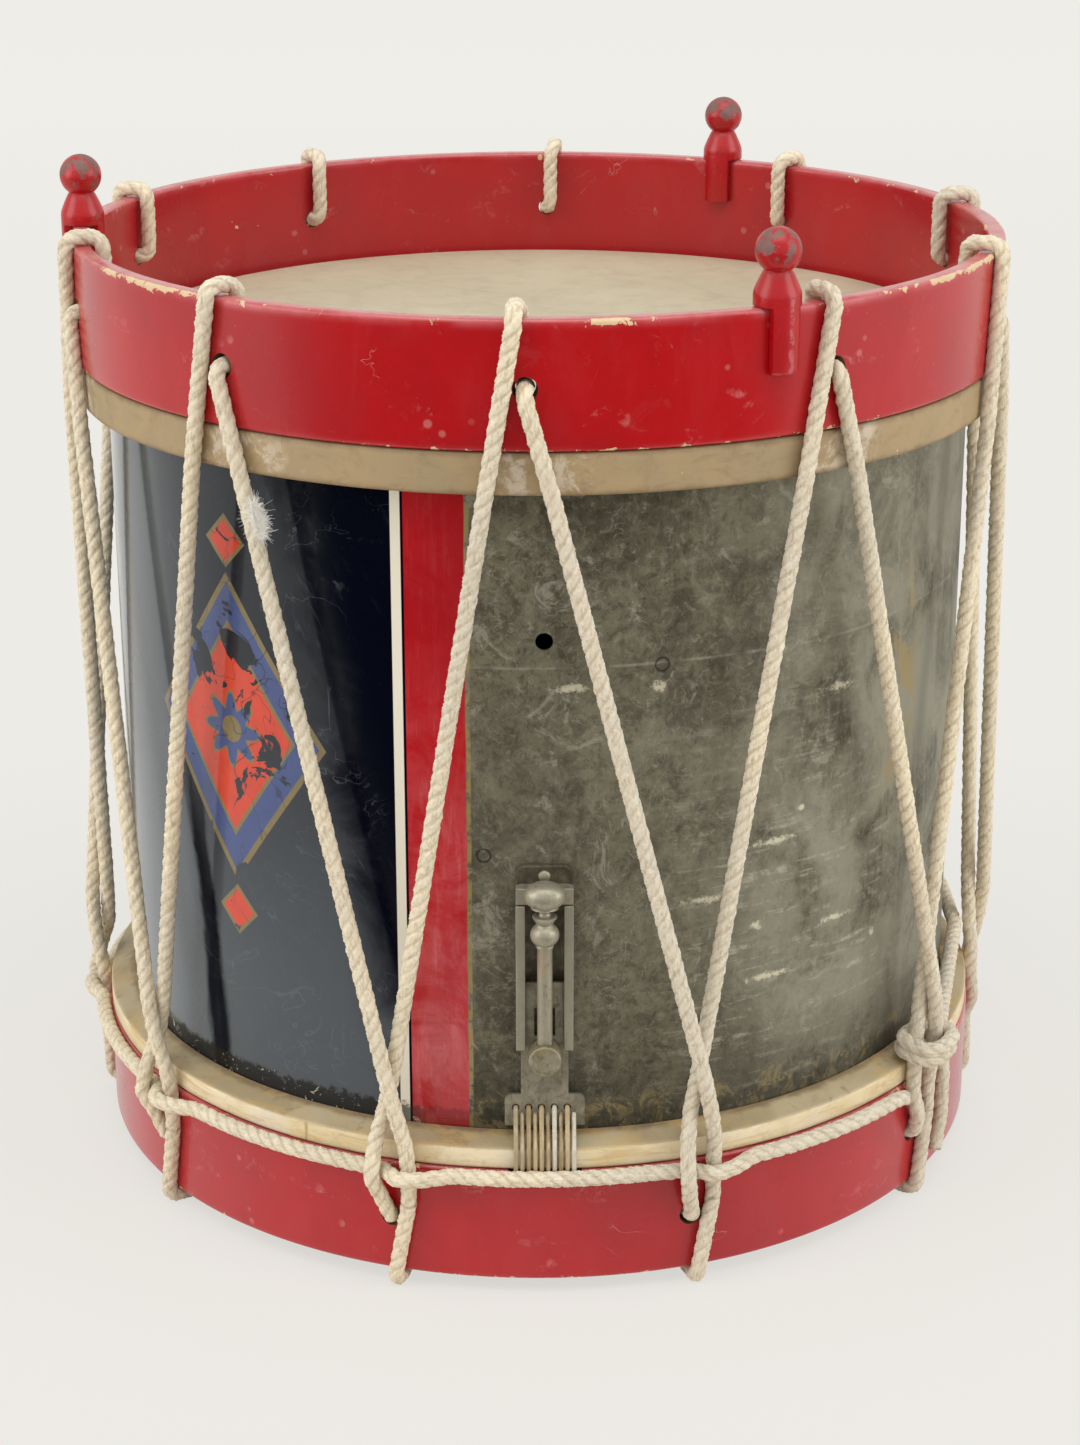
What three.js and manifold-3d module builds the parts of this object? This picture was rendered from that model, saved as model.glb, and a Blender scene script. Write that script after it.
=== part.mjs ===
// Rope-tensioned field drum: a brass shell between two lapped heads, each pressed down by a wooden
// counter hoop, and all of it drawn together by one rope laced through the hoops.
// Millimetres, +Z up. The origin is on the floor, under the middle of the shell, and -Y is the
// front, where the snare strainer sits.

import * as THREE from 'three';
import { mergeVertices } from 'three/addons/utils/BufferGeometryUtils.js';
import Module from 'manifold-3d';

const wasm = await Module();
wasm.setup();

// Clearances and drawing fineness
const gap = 0.3;              // between pieces that rest on each other
const cutOver = 2.0;          // how far a cutting tool runs past what it cuts
const ringSides = 36;         // facets round the shell, hoops and heads
const smallSides = 12;        // facets round a turned fitting
const quarterSteps = 2;       // facets in a quarter bend of rope
const ballSteps = 6;          // facets down a ball
const tightSteps = 2;         // facets in a quarter bend inside a hole

// Shell
const frontAzimuth = -90;     // degrees from +X
const shellRadius = 177.8;
const shellWall = 1.2;
const shellLength = 291.0;
const ventRadius = 3.3;
const ventHeight = 214.3;     // above the shell's lower edge

// Wooden rings inside the shell's ends
const bearingThickness = 6.0;
const bearingHeight = 22.0;
const bearingLip = 0.6;       // how far the ring stands past the brass
const bearingRound = 2.2;

// Heads and flesh hoops
const skin = 0.6;
const skinBend = 0.9;         // bevel of the skin where it turns a corner
const collarRun = 3.4;        // width of the slope from the bearing edge to the flesh hoop
const fleshWidth = 11.85;     // from the shell's face to the outside of the lapped skin
const upperFleshHeight = 16.0;
const lowerFleshHeight = 9.2;
const lowerFleshCrown = 2.6;  // rise of the lower flesh hoop towards the shell
const upperCollar = 3.9;      // head plane above the upper flesh hoop
const lowerCollar = 3.7;      // head plane below the lower flesh hoop

// Counter hoops
const hoopOverhang = 0.55;    // how far a hoop stands past the lapped skin
const hoopWall = 7.4;
const hoopHeight = 47.8;
const hoopChamfer = 1.0;
const holeRadius = 4.8;
const upperHoleHeight = 22.8; // above the upper hoop's lower edge
const lowerHoleHeight = 24.0; // above the lower hoop's lower edge
const gateDepth = 2.5;        // notch that lets the snares under the flesh hoop
const gateSide = 3.0;         // notch beyond the outer snare, each side

// Rope
const ropeRadius = 3.25;
const ropeSides = 6;
const floorCut_share = 0.1;   // of the rope's diameter, where the drum stands on it
const laceCount = 10;
const topPhase = -93.2;       // azimuth of the first bight over the upper hoop, degrees
const bottomPhase = -107.9;   // azimuth of the first crossing at the lower hoop, degrees
const topHoleTurn = 1.15;     // from a bight to the hole beside it
const bottomHoleTurn = -0.5;  // from a crossing to the hole below it
const leftStrandTurn = -1.9;
const rightStrandTurn = 1.9;
const underTurn = 0.2;
const forkTurn = 0.95;        // either strand a little below the crossing
const forkDrop = 14.6;
const nearTurn = 1.75;        // either strand a little above the girth rope
const nearRise = 13.0;
const strandEnd = 9.75;       // a lace's foot, below the girth rope and above its hole
const crossingHeight = 86.0;  // above the lower hoop's lower edge
const girthHeight = 44.6;     // the rope round the lower hoop, above its lower edge
const hitchJunction = 2;      // the crossing that the rope's end is hitched to
const hitchTurns = 2;
const hitchSteps = 8;
const hitchHeight = 59.6;     // start of the hitch, above the lower hoop's lower edge
const hitchPitch = 7.0;
const hitchTilt = 5.0;        // rise of the hitch's far side over its middle, and fall of its near side
const hitchStandoff = 4.4;    // middle of the hitch, in front of the hoop's face
const hitchDepth = 10.5;      // half its depth
const hitchSpread = 3.6;      // half its width, degrees
const slantHeight = 70.8;     // the rope behind the crossing next to the hitch
const slantHold = 12.0;       // how far beyond that crossing it keeps its height, degrees
const slantEnd = 25.0;        // and where it is down on the hoop again
const weaveTurn = 0.9;        // where the girth rope passes from behind one strand to over the next
const tailTurn = 5.2;         // the hanging tail, from the crossing
const tailHeight = 9.5;
const tuckTurn = -4.0;        // where the girth rope's end meets the left strand
const girthStop_shares = [0.2, 0.36, 0.52, 0.68, 0.84];

// Pegs on the upper hoop
const pegAzimuths = [-63.4, 61.9, 179.3];
const pegRadius = 8.85;
const pegBallRadius = 8.5;
const pegNeckRadius = 5.1;
const pegRise = 28.0;         // above the hoop
const pegShoulder = 12.2;
const pegLegWidth = 11.0;
const pegOuterLeg = 24.2;
const pegInnerLeg = 19.0;

// Snare strainer, at the front
const plateWidth = 22.0;
const plateThickness = 1.6;
const plateTop = 126.1;       // above the shell's lower edge, as are the heights that follow
const plateBottom = 51.5;
const plateRound = 4.0;
const railWidth = 1.4;
const railDepth = 5.6;
const lugTop = 118.6;
const lugBottom = 112.0;
const lugDepth = 4.6;
const domeRadius = 6.8;
const rodAxis = 9.4;          // rod's axis in front of the shell
const rodRadius = 2.9;
const ballRadius = 5.7;
const ballHeight = 101.6;
const neckRadius = 2.3;
const bossHeight = 49.8;
const bossRadius = 6.3;
const bossLength = 9.0;
const slideWidth = 17.0;
const slideTop = 79.0;
const slideStandoff = 3.4;    // slide plate's back in front of the shell
const hookWidth = 31.0;
const hookTop = 31.6;
const hookBottom = 18.3;
const slideWindowWidth = 8.0;
const slideWindowHeight = 12.0;
const screwHeadRadius = 2.4;
const screwHeadHeight = 1.2;
const screwShankRadius = 1.4;
const screwReach = 3.2;       // shank inside the shell
const nutRadius = 3.2;
const nutHeight = 2.0;
const nutSides = 6;
const bracketScrews = [121.5, 92.0];
const bossStudRadius = 2.2;
const bossHeadHeight = 0.6;
const bossSeat = 2.4;         // screw's foot above the boss's middle
const neckEngaged = 3.5;      // neck inside the lug
const slideTravel = 3.0;      // either way from the place shown

// Snares and their butt plate, at the back
const gutRadius = 0.95;
const gutSides = 5;
const gutCount = 10;
const gutPitch = 2.5;
const gutHoleRadius = 1.45;
const gutHoleDrop = 5.5;      // hole below the hook plate's top edge
const buttTop = 44.0;
const buttWidth = 30.0;

// Heights and radii that follow from the sizes above
const ropeDiameter = 2 * ropeRadius;
const lowerHoopBase = ropeDiameter * (1 - floorCut_share) + gap;
const lowerFleshBase = lowerHoopBase + hoopHeight + gap;
const snarePlane = lowerFleshBase - lowerCollar;
const shellBase = snarePlane + skin + gap + bearingLip;
const shellTop = shellBase + shellLength;
const batterPlane = shellTop + bearingLip + gap + skin;
const upperFleshTop = batterPlane - upperCollar;
const upperHoopBase = upperFleshTop + gap;
const upperHoopTop = upperHoopBase + hoopHeight;
const fleshOuterRadius = shellRadius + fleshWidth;
const hoopRadius = fleshOuterRadius + hoopOverhang;
const hoopInner = hoopRadius - hoopWall;
const hoopMiddle = hoopRadius - hoopWall / 2;
const shellInner = shellRadius - shellWall;
const facetSag = hoopInner * (1 - Math.cos(Math.PI / ringSides));
const buttScrewSpread = buttWidth / 2 - 2 * screwHeadRadius;
const buttScrewHeight = (hookTop + slideStandoff + buttTop) / 2;

const RED = [0x9c1420, 0.35, 0];
const BRASS = [0x6b6350, 0.45, 0.8];
const STEEL = [0x7a7464, 0.45, 0.8];
const SKIN = [0xb0a68f, 0.7, 0];
const RAWHIDE = [0xd6c594, 0.65, 0];
const WOOD = [0xa98a5c, 0.75, 0];
const ROPE = [0xd9ccae, 0.9, 0];
const GUT = [0xb79a63, 0.5, 0];

const drum = new THREE.Group();

// Gives a finished piece its name, its own material and its place in the group.
function place(name, geometry, [color, roughness, metalness], parent = drum) {
  const material = new THREE.MeshStandardMaterial({ color, roughness, metalness });
  const mesh = new THREE.Mesh(geometry, material);
  mesh.name = name;
  parent.add(mesh);
  return mesh;
}

// Turns a closed geometry into a solid that can be cut and joined.
function solid(geometry) {
  const bare = geometry.index ? geometry.clone() : geometry;
  bare.deleteAttribute('normal');
  bare.deleteAttribute('uv');
  const merged = mergeVertices(bare, gap / 1000);
  const corners = new Float32Array(merged.attributes.position.array);
  const kept = [];
  const index = merged.index.array;
  for (let i = 0; i < index.length; i += 3) {
    const [a, b, c] = [index[i], index[i + 1], index[i + 2]];
    if (a !== b && b !== c && c !== a) kept.push(a, b, c);
  }
  if (signedVolume(corners, kept) < 0) kept.reverse();
  const mesh = new wasm.Mesh({ numProp: 3, vertProperties: corners, triVerts: new Uint32Array(kept) });
  return new wasm.Manifold(mesh);
}

function signedVolume(corners, index) {
  const [a, b, c] = [new THREE.Vector3(), new THREE.Vector3(), new THREE.Vector3()];
  let volume = 0;
  for (let i = 0; i < index.length; i += 3) {
    a.fromArray(corners, 3 * index[i]);
    b.fromArray(corners, 3 * index[i + 1]);
    c.fromArray(corners, 3 * index[i + 2]);
    volume += a.dot(b.cross(c));
  }
  return volume;
}

function geometryOf(body) {
  const mesh = body.getMesh();
  const corners = [];
  for (let i = 0; i < mesh.vertProperties.length; i += mesh.numProp) {
    corners.push(...mesh.vertProperties.slice(i, i + 3));
  }
  const geometry = new THREE.BufferGeometry();
  geometry.setAttribute('position', new THREE.Float32BufferAttribute(corners, 3));
  geometry.setIndex(Array.from(mesh.triVerts));
  geometry.computeVertexNormals();
  return geometry;
}

// A point at a radius, an azimuth in degrees from +X, and a height.
function at(radius, azimuth, height) {
  const turn = THREE.MathUtils.degToRad(azimuth);
  return new THREE.Vector3(radius * Math.cos(turn), radius * Math.sin(turn), height);
}

// Turns a closed outline of [radius, height] pairs round the drum's axis.
function turned(outline, sides = ringSides) {
  const points = outline.map(([radius, height]) => new THREE.Vector2(radius, height));
  if (outline[0][0] > 0) points.push(points[0].clone());
  const geometry = new THREE.LatheGeometry(points, sides);
  geometry.rotateX(Math.PI / 2);
  return solid(geometry);
}

function box(width, depth, height, x, y, z) {
  const geometry = new THREE.BoxGeometry(width, depth, height);
  geometry.translate(x, y, z);
  return solid(geometry);
}

// A round bar between two points.
function bar(from, to, radius, sides = smallSides) {
  const along = to.clone().sub(from);
  const geometry = new THREE.CylinderGeometry(radius, radius, along.length(), sides);
  const up = new THREE.Vector3(0, 1, 0);
  geometry.applyQuaternion(new THREE.Quaternion().setFromUnitVectors(up, along.normalize()));
  const middle = from.clone().add(to).multiplyScalar(1 / 2);
  geometry.translate(middle.x, middle.y, middle.z);
  return solid(geometry);
}

// A plate drawn in x and z, of a thickness towards -Y from a front-to-back place.
function plate(shape, thickness, back) {
  const geometry = new THREE.ExtrudeGeometry(shape, {
    depth: thickness, bevelEnabled: false, curveSegments: quarterSteps,
  });
  geometry.rotateX(Math.PI / 2);
  geometry.translate(0, back, 0);
  return solid(geometry);
}

// A closed tube through points, with flat ends square to them. Its first corner starts on the
// side that `outward` points to, and the section is carried along without twist.
function tube(points, radius, sides, outward) {
  const last = points.length - 1;
  const tangents = points.map((point, i) => {
    const ahead = points[Math.min(i + 1, last)].clone().sub(point).normalize();
    const behind = point.clone().sub(points[Math.max(i - 1, 0)]).normalize();
    return ahead.add(behind).normalize();
  });
  let side = outward.clone();
  const corners = [];
  points.forEach((point, i) => {
    side.addScaledVector(tangents[i], -side.dot(tangents[i])).normalize();
    const other = tangents[i].clone().cross(side);
    for (let k = 0; k < sides; k++) {
      const turn = 2 * Math.PI * k / sides;
      const corner = point.clone();
      corner.addScaledVector(side, radius * Math.cos(turn));
      corner.addScaledVector(other, radius * Math.sin(turn));
      corners.push(...corner.toArray());
    }
  });
  const index = [];
  for (let i = 0; i < last; i++) {
    for (let k = 0; k < sides; k++) {
      const next = (k + 1) % sides;
      const [a, b] = [i * sides + k, i * sides + next];
      index.push(a, b, b + sides, a, b + sides, a + sides);
    }
  }
  for (let k = 1; k < sides - 1; k++) {
    index.push(0, k + 1, k);
    index.push(last * sides, last * sides + k, last * sides + k + 1);
  }
  const geometry = new THREE.BufferGeometry();
  geometry.setAttribute('position', new THREE.Float32BufferAttribute(corners, 3));
  geometry.setIndex(index);
  return solid(geometry);
}

// Points of a bend in the plane of radius and height, from one angle to another, in degrees.
function bend(radius, height, size, from, to, azimuthFrom, azimuthTo, steps = quarterSteps) {
  const points = [];
  for (let i = 0; i <= steps; i++) {
    const turn = THREE.MathUtils.degToRad(from + (to - from) * i / steps);
    const azimuth = azimuthFrom + (azimuthTo - azimuthFrom) * i / steps;
    points.push(at(radius + size * Math.cos(turn), azimuth, height + size * Math.sin(turn)));
  }
  return points;
}

function makeShell() {
  const body = turned([
    [shellInner, shellBase],
    [shellRadius, shellBase],
    [shellRadius, shellTop],
    [shellInner, shellTop],
  ]);
  const height = shellBase + ventHeight;
  const inside = at(shellInner - cutOver, frontAzimuth, height);
  const hole = bar(inside, at(shellRadius + cutOver, frontAzimuth, height), ventRadius);
  let bored = body.subtract(hole);
  for (const screw of bracketScrews) bored = bored.subtract(borePin(0, screw, screwShankRadius + gap));
  for (const side of [-1, 1]) {
    bored = bored.subtract(borePin(side * buttScrewSpread, buttScrewHeight, screwShankRadius + gap, -1));
  }
  place('shell', geometryOf(bored), BRASS);
}

// The ring that backs the shell's end and carries the head over its rounded edge.
function makeBearingRing(name, edge, inward) {
  const outer = shellInner - gap;
  const inner = outer - bearingThickness;
  const crest = edge - inward * bearingLip;
  const foot = crest + inward * bearingHeight;
  const body = turned([
    [inner, foot],
    [outer, foot],
    [outer, crest + inward * bearingLip],
    [outer - bearingLip, crest],
    [outer - bearingRound, crest],
    [inner, crest + inward * bearingRound],
  ]);
  place(name, geometryOf(body), WOOD);
}

// A head and its flesh hoop. `plane` is the playing face, `collar` the distance from it to the
// flesh hoop's near side, and `crown` the rise of the hoop's far side towards the shell.
function makeHead(head, hoop, plane, inward, collar, height, crown, headFinish) {
  const level = (distance) => plane + inward * distance;
  const outer = fleshOuterRadius;
  const lap = shellRadius + 2 * gap;
  const edge = shellInner - gap - bearingRound;
  const near = collar;
  const far = collar + height;
  const slopeEnd = shellRadius + collarRun;
  const lapInner = lap + skin;
  const skinBody = turned([
    [0, level(0)],
    [edge, level(0)],
    [shellRadius, level(skin)],
    [slopeEnd, level(near)],
    [outer - skinBend, level(near)],
    [outer, level(near + skinBend)],
    [outer, level(far - skinBend)],
    [outer - skinBend, level(far)],
    [lap, level(far + crown)],
    [lap, level(far + crown - skin)],
    [outer - skinBend - skin / 2, level(far - skin)],
    [outer - skin, level(far - skinBend - skin / 2)],
    [outer - skin, level(near + skinBend + skin / 2)],
    [outer - skinBend - skin / 2, level(near + skin)],
    [slopeEnd - skin / 2, level(near + skin)],
    [shellRadius - skin / 2, level(2 * skin)],
    [edge, level(skin)],
    [0, level(skin)],
  ]);
  place(head, geometryOf(skinBody), headFinish);
  const core = skin + gap;
  const coreBody = turned([
    [lapInner, level(near + core)],
    [outer - core - skinBend, level(near + core)],
    [outer - core, level(near + core + skinBend)],
    [outer - core, level(far - core - skinBend)],
    [outer - core - skinBend, level(far - core)],
    [lapInner, level(far + crown - core)],
  ]);
  place(hoop, geometryOf(coreBody), WOOD);
}

function hoopRing(base) {
  const top = base + hoopHeight;
  return turned([
    [hoopInner, base + hoopChamfer],
    [hoopInner + hoopChamfer, base],
    [hoopRadius - hoopChamfer, base],
    [hoopRadius, base + hoopChamfer],
    [hoopRadius, top - hoopChamfer],
    [hoopRadius - hoopChamfer, top],
    [hoopInner + hoopChamfer, top],
    [hoopInner, top - hoopChamfer],
  ]);
}

function drillHoop(body, height, azimuthOf) {
  let drilled = body;
  for (let k = 0; k < laceCount; k++) {
    const from = at(hoopInner - cutOver, azimuthOf(k), height);
    const to = at(hoopRadius + cutOver, azimuthOf(k), height);
    drilled = drilled.subtract(bar(from, to, holeRadius));
  }
  return drilled;
}

const gutSpan = (gutCount - 1) * gutPitch;
const topAzimuth = (k) => topPhase + 360 * k / laceCount;
const bottomAzimuth = (k) => bottomPhase + 360 * k / laceCount;

function makeCounterHoops() {
  const upper = drillHoop(hoopRing(upperHoopBase), upperHoopBase + upperHoleHeight,
    (k) => topAzimuth(k) + topHoleTurn);
  place('upper_counter_hoop', geometryOf(upper), RED);
  const lower = drillHoop(hoopRing(lowerHoopBase), lowerHoopBase + lowerHoleHeight,
    (k) => bottomAzimuth(k) + bottomHoleTurn);
  const gate = box(gutSpan + 2 * gateSide, 2 * (hoopRadius + cutOver), 2 * gateDepth,
    0, 0, lowerHoopBase + hoopHeight);
  place('lower_counter_hoop', geometryOf(lower.subtract(gate)), RED);
}

// A turned peg that straddles the upper hoop's wall with a long leg outside and a short one inside.
function makePeg(name, azimuth) {
  const seat = upperHoopTop + gap;
  const ball = seat + pegRise - pegBallRadius;
  const outline = [
    [0, seat - pegOuterLeg],
    [pegRadius, seat - pegOuterLeg],
    [pegRadius, seat + pegShoulder / 2],
    [pegRadius - hoopChamfer, seat + pegShoulder / 2 + hoopChamfer],
    [pegNeckRadius, seat + pegShoulder],
  ];
  const sweep = Math.acos(pegNeckRadius / pegBallRadius);
  for (let i = 0; i < ballSteps; i++) {
    const turn = -sweep + (Math.PI / 2 + sweep) * i / ballSteps;
    outline.push([pegBallRadius * Math.cos(turn), ball + pegBallRadius * Math.sin(turn)]);
  }
  outline.push([0, ball + pegBallRadius]);
  let body = turned(outline, smallSides);
  const slot = hoopWall + 2 * gap + facetSag;
  const below = pegOuterLeg + cutOver;
  body = body.subtract(box(slot, 2 * pegRadius + cutOver, below, -facetSag / 2, 0, seat - below / 2));
  const inner = pegOuterLeg - pegInnerLeg;
  body = body.subtract(box(pegRadius + cutOver, 2 * pegRadius + cutOver, 2 * inner,
    -(pegRadius + cutOver) / 2, 0, seat - pegOuterLeg));
  for (const side of [-1, 1]) {
    const trim = pegRadius + cutOver - pegLegWidth / 2;
    body = body.subtract(box(2 * pegRadius + cutOver, trim, below,
      0, side * (pegLegWidth + trim) / 2, seat - below / 2));
  }
  const geometry = geometryOf(body);
  geometry.rotateZ(THREE.MathUtils.degToRad(azimuth));
  const centre = at(hoopMiddle, azimuth, 0);
  geometry.translate(centre.x, centre.y, 0);
  place(name, geometry, RED);
}

// Radii that the rope's middle keeps to
const ropeOnHoop = hoopRadius + ropeRadius + gap;
const hitchRadius = hoopRadius + hitchStandoff;
const ropeOverRope = ropeOnHoop + ropeDiameter + gap;
const ropeInHoop = hoopInner - ropeRadius - gap - facetSag;
const backCrossing = fleshOuterRadius + ropeRadius / 2;
const frontCrossing = backCrossing + ropeDiameter + gap;
const cornerBend = ropeRadius + gap + hoopChamfer / 2;
const holeBend = ropeRadius + gap;

const lift = (height) => lowerHoopBase + height;

// One lace: from its hole in the lower hoop up behind the crossing, over the upper hoop, in through
// the hole and down across the next crossing.
function laceRoute(k) {
  const low = bottomAzimuth(k);
  const high = topAzimuth(k);
  const next = bottomAzimuth(k + 1);
  const crossing = lift(crossingHeight);
  const girth = lift(girthHeight);
  const fleshBase = upperFleshTop - upperFleshHeight;
  const rise = (height) => low + (high - low) * (height - crossing) / (upperHoopTop - crossing);
  const hole = upperHoopBase + upperHoleHeight;
  const holeTurn = high + topHoleTurn;
  const fall = (height) => holeTurn + (next - holeTurn) * (hole - height) / (hole - crossing);
  const outerCorner = ropeOnHoop - cornerBend;
  const innerCorner = ropeInHoop + cornerBend;
  const crest = upperHoopTop + gap + ropeRadius - cornerBend;
  const halfway = high + topHoleTurn / 2;
  const onGirth = k === hitchJunction || k === hitchJunction + 1 ? ropeOnHoop : ropeOverRope + gap;
  return [
    laceStart(low),
    at(onGirth, low + leftStrandTurn, girth),
    at((onGirth + ropeOnHoop) / 2, low - nearTurn, girth + nearRise),
    at(backCrossing + ropeRadius / 4, low - forkTurn, crossing - forkDrop),
    at(backCrossing, low, crossing),
    at(ropeOnHoop, rise(fleshBase), fleshBase),
    ...bend(outerCorner, crest, cornerBend, 0, 90, high, high),
    ...bend(innerCorner, crest, cornerBend, 90, 180, high, halfway),
    ...bend(ropeInHoop + holeBend, hole + holeBend, holeBend, 180, 270, halfway, holeTurn, tightSteps),
    ...bend(ropeOnHoop - holeBend, hole - holeBend, holeBend, 90, 0, holeTurn, holeTurn, tightSteps),
    at(ropeOnHoop, fall(fleshBase), fleshBase),
    at(frontCrossing, next, crossing),
    at(frontCrossing - ropeRadius / 4, next + forkTurn, crossing - forkDrop),
    at(ropeOnHoop + ropeRadius / 2, next + nearTurn, girth + nearRise),
    at(ropeOnHoop, next + rightStrandTurn, girth),
    at(ropeOnHoop, next + rightStrandTurn, girth - strandEnd),
  ];
}

// Where a lace starts, on the left strand between its hole and the girth rope.
function laceStart(low) {
  const turn = low + (bottomHoleTurn + leftStrandTurn) / 2;
  return at(ropeOnHoop + ropeRadius / 2, turn, lift(lowerHoleHeight) + strandEnd);
}

// The rope under the lower hoop, from the right strand to the hole behind the left one.
function underRoute(k) {
  const low = bottomAzimuth(k);
  const hole = lift(lowerHoleHeight);
  const holeTurn = low + bottomHoleTurn;
  const base = lowerHoopBase - gap - ropeRadius + cornerBend;
  const under = low + underTurn;
  const halfway = low + (bottomHoleTurn + underTurn) / 2;
  const entry = lift(girthHeight) - strandEnd - gap;
  const top = laceStart(low);
  const ahead = laceRoute(k)[1].sub(top).normalize();
  return [
    at(ropeOnHoop, low + rightStrandTurn, entry),
    at(ropeOnHoop, low + rightStrandTurn, entry - ropeRadius),
    ...bend(ropeOnHoop - cornerBend, base, cornerBend, 0, -90, under, under),
    ...bend(ropeInHoop + cornerBend, base, cornerBend, -90, -180, under, halfway),
    ...bend(ropeInHoop + holeBend, hole - holeBend, holeBend, 180, 90, halfway, holeTurn, tightSteps),
    ...bend(ropeOnHoop - holeBend, hole + holeBend, holeBend, -90, -45, holeTurn, holeTurn, 1),
    top.clone().addScaledVector(ahead, -gap - ropeRadius),
    top.clone().addScaledVector(ahead, -gap),
  ];
}

// The hitch, from a hanging tail up behind both strands of one crossing and twice round them. The
// turns are high behind the strands, over the flesh hoop, and low in front of them.
function hitchRoute(home) {
  const base = lift(hitchHeight);
  const points = [
    at(ropeOnHoop + ropeRadius / 2, home + tailTurn, lift(tailHeight)),
    at(ropeOnHoop + ropeRadius / 2, home + tailTurn, lift(girthHeight)),
    at(ropeOnHoop, home + tailTurn, base + hitchTilt - ropeRadius / 2),
  ];
  const squared = (value) => Math.sign(value) * Math.sqrt(Math.abs(value));
  for (let i = 1; i <= hitchTurns * hitchSteps; i++) {
    const turn = 2 * Math.PI * i / hitchSteps;
    const behind = squared(Math.sin(turn));
    const azimuth = home + hitchSpread * squared(Math.cos(turn));
    const height = base + hitchPitch * i / hitchSteps + hitchTilt * behind;
    points.push(at(hoopRadius + hitchStandoff - hitchDepth * behind, azimuth, height));
  }
  return points;
}

// The rope that girds the lower hoop. It leaves the hitch in a slant that goes up behind the next
// crossing and comes down to the hoop beyond it. Then it runs round the hoop, behind each left
// strand and over each right one, and ends at the left strand beside the hitch.
function girthRoute() {
  const home = bottomAzimuth(hitchJunction);
  const next = bottomAzimuth(hitchJunction + 1);
  const girth = lift(girthHeight);
  const slant = lift(slantHeight);
  const behind = backCrossing + ropeRadius / 4 - ropeDiameter - gap;
  const points = [
    ...hitchRoute(home),
    at(behind, next + leftStrandTurn, slant),
    at(behind, next + rightStrandTurn, slant),
    at(fleshOuterRadius, next + slantHold, slant),
    at(ropeOnHoop + gap, next + (slantHold + slantEnd) / 2, (slant + girth) / 2 + ropeRadius),
    at(ropeOnHoop + gap, next + slantEnd, girth),
  ];
  for (let k = 2; k < laceCount; k++) {
    const here = home + 360 * k / laceCount;
    points.push(at(ropeOnHoop + gap / 2, here + leftStrandTurn, girth));
    points.push(at(ropeOnHoop + gap / 2, here - weaveTurn, girth));
    points.push(at(ropeOverRope - gap, here + weaveTurn, girth));
    points.push(at(ropeOverRope, here + rightStrandTurn, girth));
    points.push(at(ropeOverRope - ropeRadius / 2, here + 2 * rightStrandTurn, girth));
    for (const share of girthStop_shares) {
      points.push(at(ropeOnHoop + gap, here + 360 / laceCount * share, girth));
    }
  }
  points.push(at(ropeOnHoop + gap, home + 360 + tuckTurn, girth));
  return points;
}

function makeRope() {
  let length = 0;
  const lay = (route, azimuth) => {
    route.forEach((point, i) => { if (i > 0) length += point.distanceTo(route[i - 1]); });
    return tube(route, ropeRadius, ropeSides, at(1, azimuth, 0));
  };
  const floor = box(4 * hoopRadius, 4 * hoopRadius, ropeDiameter, 0, 0, -ropeRadius);
  for (let k = 0; k < laceCount; k++) {
    const lace = lay(laceRoute(k), bottomAzimuth(k));
    place(`rope_lace_${k + 1}`, geometryOf(lace), ROPE);
    const loop = lay(underRoute(k), bottomAzimuth(k));
    place(`rope_under_loop_${k + 1}`, geometryOf(loop.subtract(floor)), ROPE);
  }
  place('girth_rope', geometryOf(lay(girthRoute(), bottomAzimuth(hitchJunction))), ROPE);
  console.log(`rope length ${(length / 1000).toFixed(2)} m`);
}

// Heights of the strainer's pieces, and places in front of the shell
const onShell = (height) => shellBase + height;
const front = (depth) => -(shellRadius + depth);
const plateBack = gap;
const plateFront = plateBack + plateThickness;
const slideFront = slideStandoff + plateThickness;
const bossBack = slideFront + gap;

function roundedPlate(width, bottom, top, round) {
  const shape = new THREE.Shape();
  const half = width / 2;
  shape.moveTo(-half, bottom);
  shape.lineTo(half, bottom);
  shape.lineTo(half, top - round);
  shape.absarc(half - round, top - round, round, 0, Math.PI / 2);
  shape.lineTo(-half + round, top);
  shape.absarc(-half + round, top - round, round, Math.PI / 2, Math.PI);
  return shape;
}

// A round hole from front to back through everything near the shell, at one end of a diameter.
function borePin(x, height, radius, face = 1) {
  const from = new THREE.Vector3(x, face * front(-shellWall - cutOver), onShell(height));
  const to = new THREE.Vector3(x, face * front(bossBack), onShell(height));
  return bar(from, to, radius);
}

function makeStrainerPlate() {
  const shape = roundedPlate(plateWidth, onShell(plateBottom), onShell(plateTop), plateRound);
  let body = plate(shape, plateThickness, front(plateBack));
  const height = lugBottom - gap - plateBottom;
  for (const side of [-1, 1]) {
    const rail = box(railWidth, plateThickness + railDepth, height, side * (plateWidth - railWidth) / 2,
      front(plateBack + (plateThickness + railDepth) / 2), onShell(plateBottom + height / 2));
    body = body.add(rail);
  }
  for (const screw of bracketScrews) body = body.subtract(borePin(0, screw, screwShankRadius + gap));
  place('strainer_plate', geometryOf(body), STEEL);
}

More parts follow.
